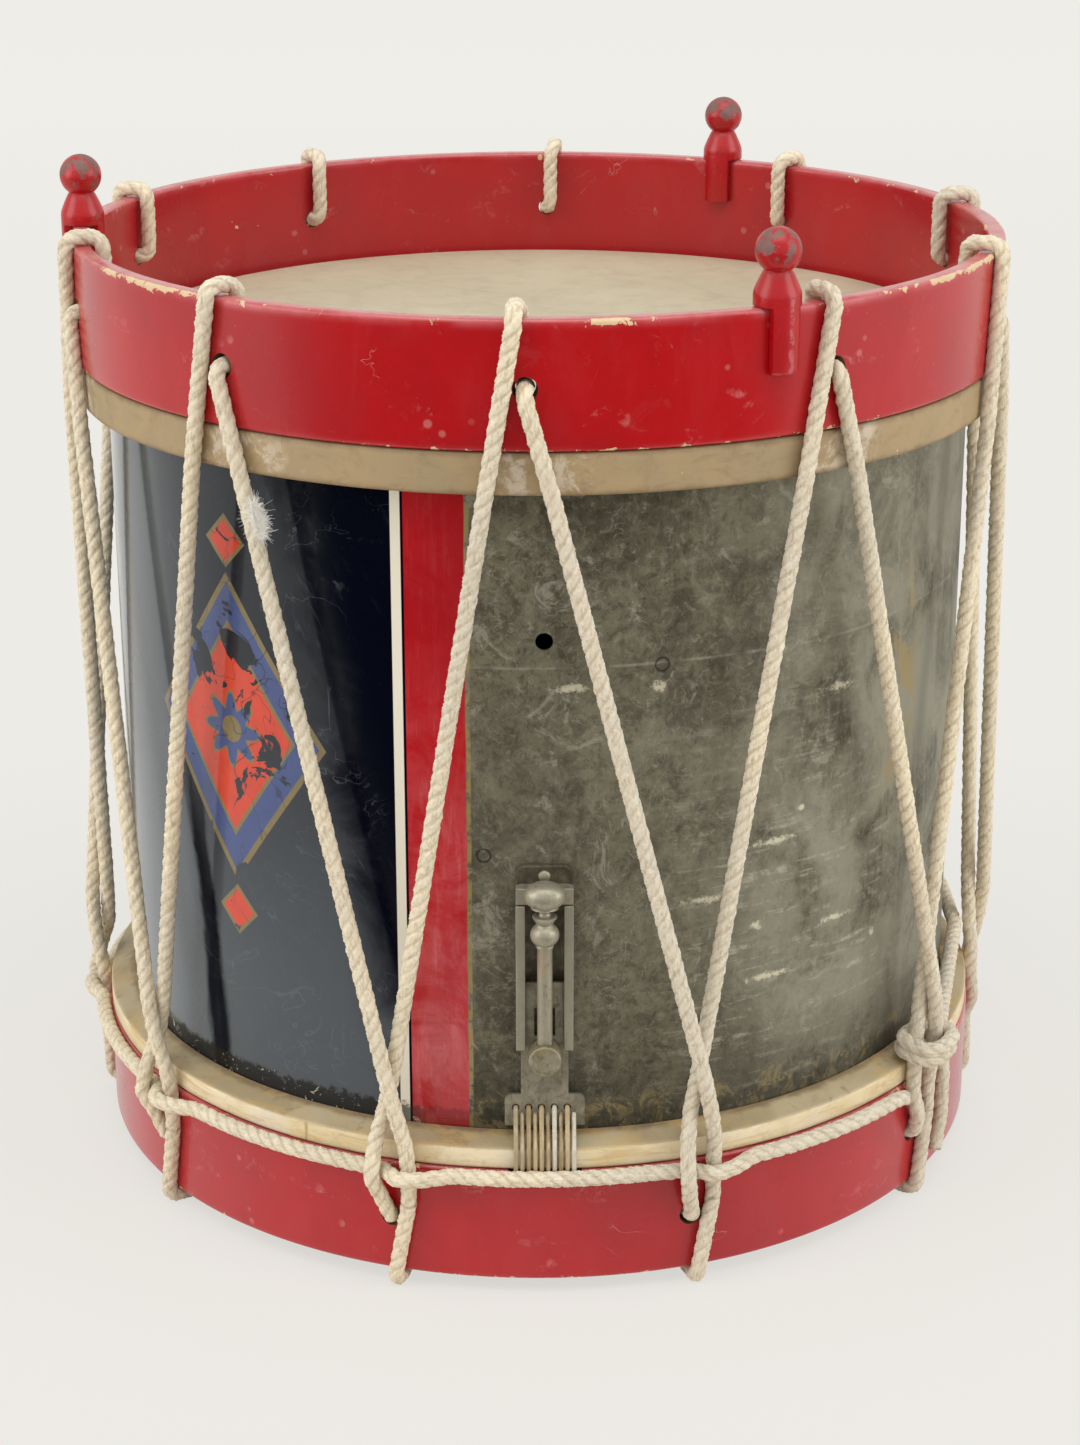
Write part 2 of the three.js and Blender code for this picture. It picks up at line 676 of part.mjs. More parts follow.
// The fixed nut of the strainer: a block across the plate with a domed middle that the screw
// threads up into.
function makeStrainerLug() {
  const back = plateFront + gap;
  const height = lugTop - lugBottom;
  const middle = onShell(lugBottom + height / 2);
  let body = box(plateWidth, lugDepth, height, 0, front(back + lugDepth / 2), middle);
  const dome = turned([
    [0, onShell(lugBottom)],
    [domeRadius, onShell(lugBottom)],
    [domeRadius, middle],
    [domeRadius * Math.cos(Math.PI / 6), middle + domeRadius / 2],
    [domeRadius / 2, middle + domeRadius * Math.cos(Math.PI / 6)],
    [0, middle + domeRadius],
  ], smallSides);
  const cut = box(2 * domeRadius + cutOver, 2 * back + cutOver, 4 * domeRadius,
    0, front(back - (back + cutOver / 2)), middle);
  body = body.add(dome.translate([0, front(rodAxis), 0])).subtract(cut);
  const boreTop = lugBottom + neckEngaged + slideTravel + gap;
  const bore = bar(new THREE.Vector3(0, front(rodAxis), onShell(lugBottom - cutOver)),
    new THREE.Vector3(0, front(rodAxis), onShell(boreTop)), neckRadius + gap);
  place('strainer_lug', geometryOf(body.subtract(bore)), STEEL);
}

// The screw: a plain foot that turns in the boss, a rod, a ball for the fingers and a threaded
// neck in the lug.
function makeStrainerScrew() {
  const foot = onShell(bossHeight + bossSeat);
  const ball = onShell(ballHeight);
  const outline = [[0, foot], [rodRadius, foot]];
  const sweep = Math.asin(rodRadius / ballRadius);
  for (let i = 0; i <= ballSteps; i++) {
    const turn = sweep + (Math.PI - sweep - Math.asin(neckRadius / ballRadius)) * i / ballSteps;
    outline.push([ballRadius * Math.sin(turn), ball - ballRadius * Math.cos(turn)]);
  }
  outline.push([neckRadius, onShell(lugBottom + neckEngaged)], [0, onShell(lugBottom + neckEngaged)]);
  const body = turned(outline, smallSides).translate([0, front(rodAxis), 0]);
  place('strainer_screw', geometryOf(body), STEEL);
}

function makeBracketScrews() {
  bracketScrews.forEach((height, i) => {
    const screw = makeScrew(0, height, plateFront + gap, 1);
    place(`strainer_plate_screw_${i + 1}`, geometryOf(screw), STEEL);
    place(`strainer_plate_nut_${i + 1}`, geometryOf(makeNut(0, height, 1)), STEEL);
  });
}

// A round-headed screw through a plate and the shell, from a depth in front of the shell.
function makeScrew(x, height, seat, face) {
  const point = (depth) => new THREE.Vector3(x, face * front(depth), onShell(height));
  const head = bar(point(seat), point(seat + screwHeadHeight), screwHeadRadius);
  const shank = bar(point(-shellWall - screwReach), point(seat + screwHeadHeight / 2), screwShankRadius);
  return head.add(shank);
}

function makeNut(x, height, face) {
  const point = (depth) => new THREE.Vector3(x, face * front(depth), onShell(height));
  const seat = -shellWall - gap - (Math.abs(x) + nutRadius) * Math.tan(Math.PI / ringSides);
  const body = bar(point(seat), point(seat - nutHeight), nutRadius, nutSides);
  const bore = bar(point(0), point(seat - nutHeight - cutOver), screwShankRadius + gap / 2);
  return body.subtract(bore);
}

const gutX = (i) => (i - (gutCount - 1) / 2) * gutPitch;
const gutHole = hookTop - gutHoleDrop;

// Which strands come up in front of a hook plate, and which behind it: each pair is one loop.
const frontLoops = [];
const backLoops = [];
for (let i = 0; i < gutCount; i += 2) frontLoops.push([i, i + 1]);
for (let i = 1; i < gutCount - 1; i += 2) backLoops.push([i, i + 1]);

function boreGutHoles(body, loops, face) {
  let bored = body;
  for (const [strand] of loops) {
    bored = bored.subtract(borePin(gutX(strand), gutHole, gutHoleRadius, face));
  }
  return bored;
}

function makeSnareSlide() {
  const half = slideWidth / 2;
  const wide = hookWidth / 2;
  const round = plateRound / 2;
  const [bottom, shoulder, top] = [onShell(hookBottom), onShell(hookTop), onShell(slideTop)];
  const shape = new THREE.Shape();
  shape.moveTo(-wide, bottom);
  shape.lineTo(wide, bottom);
  shape.lineTo(wide, shoulder - round);
  shape.absarc(wide - round, shoulder - round, round, 0, Math.PI / 2);
  shape.lineTo(half, shoulder);
  shape.lineTo(half, top);
  shape.lineTo(-half, top);
  shape.lineTo(-half, shoulder);
  shape.lineTo(-wide + round, shoulder);
  shape.absarc(-wide + round, shoulder - round, round, Math.PI / 2, Math.PI);
  let body = plate(shape, plateThickness, front(slideStandoff));
  const windowBase = bossHeight + bossRadius + gap;
  body = body.subtract(box(slideWindowWidth, 2 * slideFront + cutOver, slideWindowHeight,
    0, front(0), onShell(windowBase + slideWindowHeight / 2)));
  body = body.subtract(borePin(0, bossHeight, bossStudRadius + gap));
  place('snare_slide', geometryOf(boreGutHoles(body, frontLoops, 1)), STEEL);
}

// The boss riveted to the slide, with a socket from above for the screw's foot.
function makeSlideBoss() {
  const point = (depth) => new THREE.Vector3(0, front(depth), onShell(bossHeight));
  let body = bar(point(bossBack), point(bossBack + bossLength), bossRadius);
  body = body.add(bar(point(slideStandoff - gap), point(bossBack + gap), bossStudRadius));
  body = body.add(bar(point(slideStandoff - gap), point(slideStandoff - gap - bossHeadHeight),
    bossStudRadius + screwHeadHeight));
  const socket = bar(new THREE.Vector3(0, front(rodAxis), onShell(bossHeight + bossSeat - gap)),
    new THREE.Vector3(0, front(rodAxis), onShell(bossHeight + bossRadius + cutOver)), rodRadius + gap);
  place('slide_boss', geometryOf(body.subtract(socket)), STEEL);
}

// The butt plate at the back: its foot stands off the shell for the gut and its top is screwed on.
function makeButtPlate() {
  const step = onShell(hookTop);
  const outline = [
    [slideStandoff, onShell(hookBottom)],
    [slideFront, onShell(hookBottom)],
    [slideFront, step],
    [plateFront, step + slideStandoff],
    [plateFront, onShell(buttTop)],
    [plateBack, onShell(buttTop)],
    [plateBack, step + slideStandoff - plateThickness],
    [slideStandoff, step - plateThickness],
  ];
  const shape = new THREE.Shape(outline.map(([depth, height]) => new THREE.Vector2(depth, height)));
  const geometry = new THREE.ExtrudeGeometry(shape, { depth: buttWidth, bevelEnabled: false });
  geometry.rotateX(Math.PI / 2);
  geometry.rotateZ(Math.PI / 2);
  geometry.translate(-buttWidth / 2, -front(0), 0);
  let body = boreGutHoles(solid(geometry), backLoops, -1);
  [-1, 1].forEach((side, i) => {
    const x = side * buttScrewSpread;
    body = body.subtract(borePin(x, buttScrewHeight, screwShankRadius + gap, -1));
    const screw = makeScrew(x, buttScrewHeight, plateFront + gap, -1);
    place(`butt_plate_screw_${i + 1}`, geometryOf(screw), STEEL);
    place(`butt_plate_nut_${i + 1}`, geometryOf(makeNut(x, buttScrewHeight, -1)), STEEL);
  });
  place('snare_butt_plate', geometryOf(body), STEEL);
}

// One end of a snare strand, from its hook plate to the edge of the snare head, as points of
// depth in front of the shell and height.
function gutEnd(inFront) {
  const off = gap + gutRadius;
  const hole = onShell(gutHole);
  const low = lowerFleshBase;
  const rim = fleshWidth;
  const climb = inFront
    ? [
      [slideStandoff - off, hole],
      [slideFront, hole],
      [slideFront + off, hole - off],
      [slideFront + off, hole - 3 * off],
    ]
    : [
      [slideStandoff - off, hole - off],
      [slideStandoff - off, onShell(hookBottom)],
      [slideStandoff, onShell(hookBottom) - 2 * off],
      [rim - gutRadius, low + lowerFleshHeight + off + gap],
    ];
  return [
    ...climb,
    [rim + off, low + lowerFleshHeight],
    [rim + off, low + skinBend + gap],
    [rim + gap, low - gutRadius],
    [rim - off, low - off],
    [collarRun, low - off],
    [0, snarePlane - gutRadius],
    [-off, snarePlane - off],
  ];
}

// The snares: one length of gut laced to and fro under the snare head.
function gutRoute() {
  const points = [];
  const isFront = (i, loops) => loops.some(([first]) => first === i);
  for (let i = 0; i < gutCount; i++) {
    const towardsBack = i % 2 === 1;
    const ends = [[1, frontLoops], [-1, backLoops]];
    const run = ends.map(([face, loops]) => gutEnd(isFront(i, loops))
      .map(([depth, height]) => new THREE.Vector3(gutX(i), face * front(depth), height)));
    const strand = [...run[0], ...run[1].reverse()];
    points.push(...(towardsBack ? strand : strand.reverse()));
  }
  return points;
}

// Least clear space between parts of one tube that are more than a few diameters apart along it.
function leastGap(points, radius) {
  let least = Infinity;
  const steps = points.length - 1;
  const segments = [];
  let travelled = 0;
  for (let i = 0; i < steps; i++) {
    const line = new THREE.Line3(points[i], points[i + 1]);
    segments.push({ line, start: travelled });
    travelled += line.distance();
  }
  const near = new THREE.Vector3();
  const probe = new THREE.Vector3();
  for (const a of segments) {
    for (const b of segments) {
      if (b.start - a.start - a.line.distance() < 6 * radius) continue;
      for (let t = 0; t <= 4; t++) {
        a.line.at(t / 4, probe);
        b.line.closestPointToPoint(probe, true, near);
        least = Math.min(least, near.distanceTo(probe) - 2 * radius);
      }
    }
  }
  return least;
}

function makeSnares() {
  const route = gutRoute();
  place('gut_snares', geometryOf(tube(route, gutRadius, gutSides, new THREE.Vector3(1, 0, 0))), GUT);
  console.log(`least gap between snare strands ${leastGap(route, gutRadius).toFixed(2)} mm`);
}

makeShell();
makeBearingRing('upper_bearing_ring', shellTop, -1);
makeBearingRing('lower_bearing_ring', shellBase, 1);
makeHead('batter_head', 'upper_flesh_hoop', batterPlane, -1, upperCollar, upperFleshHeight, 0, SKIN);
makeHead('snare_head', 'lower_flesh_hoop', snarePlane, 1, lowerCollar, lowerFleshHeight,
  lowerFleshCrown, RAWHIDE);
makeCounterHoops();
pegAzimuths.forEach((azimuth, i) => makePeg(`hoop_peg_${i + 1}`, azimuth));
makeRope();
makeStrainerPlate();
makeStrainerLug();
makeStrainerScrew();
makeBracketScrews();
makeSnareSlide();
makeSlideBoss();
makeButtPlate();
makeSnares();

export default drum;
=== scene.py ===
"""Field drum: a painted brass shell under two calfskin heads, drawn together by one laced rope.

Sizes are in metres, +Z is up and -Y is the front, where the snare strainer sits."""

import math

import bmesh
import bpy
import numpy as np
from mathutils import Matrix, Vector


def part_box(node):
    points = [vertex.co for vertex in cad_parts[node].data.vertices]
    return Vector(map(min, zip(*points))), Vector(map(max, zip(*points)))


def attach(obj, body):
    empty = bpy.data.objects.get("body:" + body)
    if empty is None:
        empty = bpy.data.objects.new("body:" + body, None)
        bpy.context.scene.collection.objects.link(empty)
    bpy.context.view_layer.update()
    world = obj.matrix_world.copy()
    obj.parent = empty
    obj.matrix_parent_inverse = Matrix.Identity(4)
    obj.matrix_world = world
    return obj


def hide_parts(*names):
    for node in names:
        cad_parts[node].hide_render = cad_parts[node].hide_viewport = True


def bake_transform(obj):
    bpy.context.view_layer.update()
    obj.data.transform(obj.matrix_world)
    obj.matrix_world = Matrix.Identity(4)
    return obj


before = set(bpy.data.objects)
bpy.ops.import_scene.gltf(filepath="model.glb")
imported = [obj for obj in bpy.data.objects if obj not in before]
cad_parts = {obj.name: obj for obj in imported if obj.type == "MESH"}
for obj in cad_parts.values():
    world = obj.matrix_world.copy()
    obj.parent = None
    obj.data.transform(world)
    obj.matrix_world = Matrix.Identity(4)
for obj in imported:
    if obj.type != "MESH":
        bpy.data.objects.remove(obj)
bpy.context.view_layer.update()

bl_info = {
    "name": "Field drum",
    "version": (1, 0, 0),
    "blender": (4, 5, 0),
    "location": "3D View > Sidebar > Drum",
    "description": "Builds a rope-tensioned field drum, one piece at a time",
    "category": "Object",
}

MM = 0.001
SHELL_LOW, SHELL_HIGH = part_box("shell")
HOOP_LOW, HOOP_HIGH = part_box("upper_counter_hoop")
FOOT_LOW, FOOT_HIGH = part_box("lower_counter_hoop")
BATTER_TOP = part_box("batter_head")[1].z
SNARE_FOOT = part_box("snare_head")[0].z
SHELL_RADIUS = 177.8 * MM
SHELL_WALL = 1.2 * MM
HOOP_RADIUS = 190.2 * MM
HOOP_WALL = 7.4 * MM
FLESH_RADIUS = 189.65 * MM
SKIN = 0.6 * MM
LACES = 10
TOP_PHASE = -93.2
BOTTOM_PHASE = -107.9
TOP_HOLE_TURN = 1.15
BOTTOM_HOLE_TURN = -0.5
HOLE_RADIUS = 4.8 * MM
TOP_HOLE = HOOP_LOW.z + 22.8 * MM
BOTTOM_HOLE = FOOT_LOW.z + 24.0 * MM
PEG_AZIMUTHS = (-63.4, 61.9, 179.3)
LACE_TURN = 360 / LACES
FRONT = -90
GUT_COUNT = 10
GUT_PITCH = 2.5 * MM
GUT_RADIUS = 0.95 * MM
ROUND_STEPS = 192
SHELL_STEPS, SHELL_ROWS = 288, 48
VENT_HEIGHT = SHELL_LOW.z + 214.3 * MM
SHELL_DEGREE = SHELL_RADIUS * math.pi / 180
# How deep each head's collar is and how far the skin laps its flesh hoop, in millimetres.
BATTER_COLLAR, BATTER_LAP = 3.9, 16.0
SNARE_COLLAR, SNARE_LAP = 3.7, 9.2


# Paint and colour


def linear(red, green, blue):
    """A colour written in 0 to 255 as it shows, turned into light values."""
    shown = (red / 255, green / 255, blue / 255)
    return tuple(c / 12.92 if c <= 0.04045 else ((c + 0.055) / 1.055) ** 2.4 for c in shown)


def maths(operation):
    """A sum of a value and what follows it, and the same sum the other way round."""
    def onward(self, other):
        return self.graph.node("ShaderNodeMath", {"operation": operation}, {0: self, 1: other})

    def reflected(self, other):
        return self.graph.node("ShaderNodeMath", {"operation": operation}, {0: other, 1: self})

    return onward, reflected


class Value:
    """A shader socket that is reckoned with like a number."""

    __add__, __radd__ = maths("ADD")
    __sub__, __rsub__ = maths("SUBTRACT")
    __mul__, __rmul__ = maths("MULTIPLY")
    __truediv__, __rtruediv__ = maths("DIVIDE")
    __pow__, __rpow__ = maths("POWER")
    most = maths("MAXIMUM")[0]

    def __init__(self, graph, socket):
        self.graph = graph
        self.socket = socket

    def __abs__(self):
        return self.graph.node("ShaderNodeMath", {"operation": "ABSOLUTE"}, {0: self})


class Graph:
    """A node tree that is written as sums."""

    def __init__(self, tree):
        self.tree = tree

    def node(self, kind, settings, inputs, output=0):
        """Adds a node, sets it, feeds it, and gives back one of its outputs."""
        made = self.tree.nodes.new(kind)
        for name, value in settings.items():
            setattr(made, name, value)
        for key, value in inputs.items():
            self.feed(made.inputs[key], value)
        return Value(self, made.outputs[output]) if made.outputs else made

    def feed(self, socket, value):
        if isinstance(value, Value):
            self.tree.links.new(value.socket, socket)
        elif socket.type == "RGBA" and hasattr(value, "__len__") and len(value) == 3:
            socket.default_value = (*value, 1.0)
        else:
            socket.default_value = value


class Finish(Graph):
    """A procedural material built on one Principled shader."""

    def __init__(self, name, roughness=0.5, metallic=0.0):
        self.material = bpy.data.materials.new(name)
        self.material.use_nodes = True
        super().__init__(self.material.node_tree)
        self.shader = self.tree.nodes["Principled BSDF"]
        self.set("Roughness", roughness)
        self.set("Metallic", metallic)
        self.place = self.node("ShaderNodeTexCoord", {}, {}, "Object")

    def set(self, name, value):
        """Feeds one of the shader's own sockets."""
        self.feed(self.shader.inputs[name], value)

    def split(self, vector=None):
        """The three parts of a place."""
        source = vector or self.place
        return [self.node("ShaderNodeSeparateXYZ", {}, {0: source}, i) for i in range(3)]

    def join(self, x, y, z):
        return self.node("ShaderNodeCombineXYZ", {}, {0: x, 1: y, 2: z})

    def stretched(self, *scale):
        """The place, drawn out along each axis."""
        inputs = {0: self.place, 1: scale}
        return self.node("ShaderNodeVectorMath", {"operation": "MULTIPLY"}, inputs)

    def noise(self, scale, detail=3.0, roughness=0.5, distortion=0.0, vector=None):
        """Cloudy variation from 0 to 1. The scale is in features per metre."""
        inputs = {"Vector": vector or self.place, "Scale": scale, "Detail": detail,
                  "Roughness": roughness, "Distortion": distortion}
        return self.node("ShaderNodeTexNoise", {}, inputs)

    def cells(self, scale, feature="F1"):
        """Distance from the nearest of many scattered points or edges."""
        inputs = {"Vector": self.place, "Scale": scale, "Randomness": 1.0}
        return self.node("ShaderNodeTexVoronoi", {"feature": feature}, inputs, "Distance")

    def ramp(self, value, low, high):
        """0 below low and 1 above high, or the other way round where low is the larger."""
        ends = {0: value, 1: min(low, high), 2: max(low, high),
                3: float(low > high), 4: float(low < high)}
        return self.node("ShaderNodeMapRange", {"interpolation_type": "SMOOTHSTEP"}, ends)

    def spots(self, low, high, *texture):
        """Noise that is 0 below low and 1 above high, or the other way round."""
        return self.ramp(self.noise(*texture), low, high)

    def streaks(self, low, high, stretch, *texture):
        """The same, drawn out along the axes."""
        return self.spots(low, high, 1.0, *texture, self.stretched(*stretch))

    def band(self, value, low, high, soft):
        """1 between two values, with soft sides."""
        return self.ramp(value, low - soft, low + soft) * self.ramp(value, high + soft, high - soft)

    def threads(self, scale, width, swirl):
        """Thin winding lines, as of fine cracks, hairs and crazing."""
        level = self.noise(scale, 3, 0.55, swirl)
        return self.ramp(abs(level - 0.5), width, width * 0.3)

    def mix(self, share, first, second):
        """A colour between two."""
        settings = {"data_type": "RGBA"}
        return self.node("ShaderNodeMix", settings, {0: share, 6: first, 7: second}, 2)

    def bump(self, height, distance, strength=1.0):
        inputs = {"Height": height, "Distance": distance, "Strength": strength}
        self.set("Normal", self.node("ShaderNodeBump", {}, inputs))

    def azimuth(self, mirrored=False):
        """Degrees round the drum's axis, from +X."""
        x, y, _ = self.split()
        side = abs(y) if mirrored else y
        turn = self.node("ShaderNodeMath", {"operation": "ARCTAN2"}, {0: side, 1: x})
        return turn * (180 / math.pi)

    def radius(self):
        x, y, _ = self.split()
        return (x * x + y * y) ** 0.5


# Working by hand


def leave_edit():
    if bpy.context.object and bpy.context.object.mode != "OBJECT":
        bpy.ops.object.mode_set(mode="OBJECT")


def take(*pieces):
    """Selects these pieces alone, the first one active."""
    leave_edit()
    bpy.ops.object.select_all(action="DESELECT")
    for piece in pieces:
        piece.select_set(True)
    bpy.context.view_layer.objects.active = pieces[0]


def start():
    leave_edit()
    bpy.ops.object.select_all(action="DESELECT")


def settle(name):
    """Names the active piece and moves its place into its mesh."""
    piece = bpy.context.object
    piece.name = name
    bpy.ops.object.transform_apply(location=True, rotation=True, scale=True)
    return piece


def edit(piece):
    take(piece)
    bpy.ops.object.mode_set(mode="EDIT")
    bpy.ops.mesh.select_mode(type="FACE")
    bpy.ops.mesh.select_all(action="SELECT")


def done():
    bpy.ops.object.mode_set(mode="OBJECT")


def select(test, kind="faces"):
    """Selects what passes the test in the piece under edit."""
    modes = {"faces": "FACE", "edges": "EDGE", "verts": "VERT"}
    bpy.ops.mesh.select_mode(type=modes[kind])
    bpy.ops.mesh.select_all(action="DESELECT")
    mesh = bmesh.from_edit_mesh(bpy.context.object.data)
    for part in getattr(mesh, kind):
        part.select = bool(test(part))
    mesh.select_flush_mode()
    bmesh.update_edit_mesh(bpy.context.object.data)


def middle(part):
    """The middle of an edge or a face."""
    points = [vert.co for vert in part.verts]
    return sum(points, Vector()) / len(points)


def block(name, low, high):
    """A block between two corners."""
    start()
    low, high = Vector(low), Vector(high)
    bpy.ops.mesh.primitive_cube_add(size=1, location=(low + high) / 2)
    bpy.context.object.scale = high - low
    return settle(name)


def rod(name, first, last, radius, sides=48):
    """A round bar between two points."""
    start()
    first, last = Vector(first), Vector(last)
    along = last - first
    turn = along.to_track_quat("Z", "Y").to_euler()
    bpy.ops.mesh.primitive_cylinder_add(vertices=sides, radius=radius, depth=along.length,
                                        location=(first + last) / 2, rotation=turn)
    return settle(name)


def spun(name, points, steps, axis_place=(0, 0), closed=False):
    """A line drawn point by point in radius and height, then spun round an upright axis."""
    start()
    x, y = axis_place
    places = [Vector((x + radius, y, height)) for radius, height in points]
    bpy.ops.mesh.primitive_plane_add(size=MM, location=places[0])
    piece = settle(name)
    edit(piece)
    bpy.ops.mesh.merge(type="CENTER")
    bpy.ops.mesh.select_mode(type="VERT")
    bpy.ops.mesh.select_all(action="SELECT")
    for here, after in zip(places, places[1:]):
        bpy.ops.mesh.extrude_region_move(TRANSFORM_OT_translate={"value": after - here})
    bpy.ops.mesh.select_all(action="SELECT")
    if closed:
        ends = (places[0], places[-1])
        select(lambda vert: any((vert.co - end).length < 1e-7 for end in ends), "verts")
        bpy.ops.mesh.edge_face_add()
        bpy.ops.mesh.select_all(action="SELECT")
    bpy.ops.mesh.spin(steps=steps, angle=2 * math.pi, center=(x, y, 0), axis=(0, 0, 1))
    bpy.ops.mesh.select_all(action="SELECT")
    bpy.ops.mesh.remove_doubles(threshold=0.005 * MM)
    bpy.ops.mesh.select_all(action="SELECT")
    bpy.ops.mesh.normals_make_consistent(inside=False)
    done()
    return piece


def apply_modifier(piece, kind, **settings):
    """Adds a modifier, sets it and applies it."""
    take(piece)
    modifier = piece.modifiers.new(kind.lower(), kind)
    for name, value in settings.items():
        setattr(modifier, name, value)
    bpy.ops.object.modifier_apply(modifier=modifier.name)


def cut(piece, *tools):
    """Cuts tools out of a piece and clears them away."""
    for tool in tools:
        apply_modifier(piece, "BOOLEAN", operation="DIFFERENCE", solver="EXACT",
                       material_mode="TRANSFER", object=tool)
        bpy.data.objects.remove(tool, do_unlink=True)


def fuse(piece, *others):
    """Joins touching solids into one body."""
    for other in others:
        apply_modifier(piece, "BOOLEAN", operation="UNION", solver="EXACT", object=other)
        bpy.data.objects.remove(other, do_unlink=True)
    return piece


def soften(piece, width, segments=3, angle=35):
    """Rounds a piece's edges."""
    apply_modifier(piece, "BEVEL", width=width, segments=segments, limit_method="ANGLE",
                   angle_limit=math.radians(angle))


def thicken(piece, wall):
    """Gives a surface its wall, inwards from where it lies."""
    apply_modifier(piece, "SOLIDIFY", thickness=wall, offset=-1)


def smooth(piece, angle=40):
    """Shades a piece smooth, with its sharper edges kept."""
    take(piece)
    bpy.ops.object.shade_smooth_by_angle(angle=math.radians(angle))


def joined(name, *pieces):
    """Several meshes as one piece."""
    take(*pieces)
    if len(pieces) > 1:
        bpy.ops.object.join()
    bpy.context.object.name = name
    return bpy.context.object


def copied(piece, name):
    """A copy with its own mesh."""
    take(piece)
    bpy.ops.object.duplicate()
    twin = bpy.context.object
    twin.name = name
    return twin


def paint(piece, finish):
    """Gives a piece one finish."""
    piece.data.materials.clear()
    piece.data.materials.append(finish.material)
    return piece


def mount(piece, body, slot, *nodes):
    """Puts a finished piece on its body, in the place of CAD nodes."""
    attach(piece, body)
    if nodes:
        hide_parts(*nodes)


def at(radius, azimuth, height):
    """A place from its distance to the axis, its azimuth in degrees and its height."""
    turn = math.radians(azimuth)
    return Vector((radius * math.cos(turn), radius * math.sin(turn), height))


# Finishes


def red_paint_layers(finish, colours):
    """Gloss red over pale wood: haze, rubs, small dents and painted reflections in soft upright bands.
    Gives the colour and the height.
    """
    haze = finish.noise(14, 4, 0.6)
    rubs = finish.spots(0.60, 0.78, 60, 5, 0.7, 0.6)
    fine = finish.noise(420, 4, 0.8)
    # Painted reflections: slow noise round the drum makes soft upright bands, a little paler in some
    # and darker in others.
    reflection_band_place = finish.join(finish.azimuth(mirrored=True), finish.split()[2] * 110, 0)
    across = finish.noise(0.13, 4, 0.6, 0.8, reflection_band_place)
    tone = finish.mix(finish.ramp(haze, 0.35, 0.7), colours.red, colours.red_worn_and_shaded)
    tone = finish.mix(finish.ramp(across, 0.50, 0.66) * 0.05, tone, colours.red_haze_and_sheen)
    tone = finish.mix(finish.ramp(across, 0.48, 0.36) * 0.3, tone, colours.red_worn_and_shaded)
    tone = finish.mix(rubs * 0.07 + finish.ramp(fine, 0.5, 0.78) * 0.06, tone, colours.red_haze_and_sheen)
    return tone, haze, rubs, fine


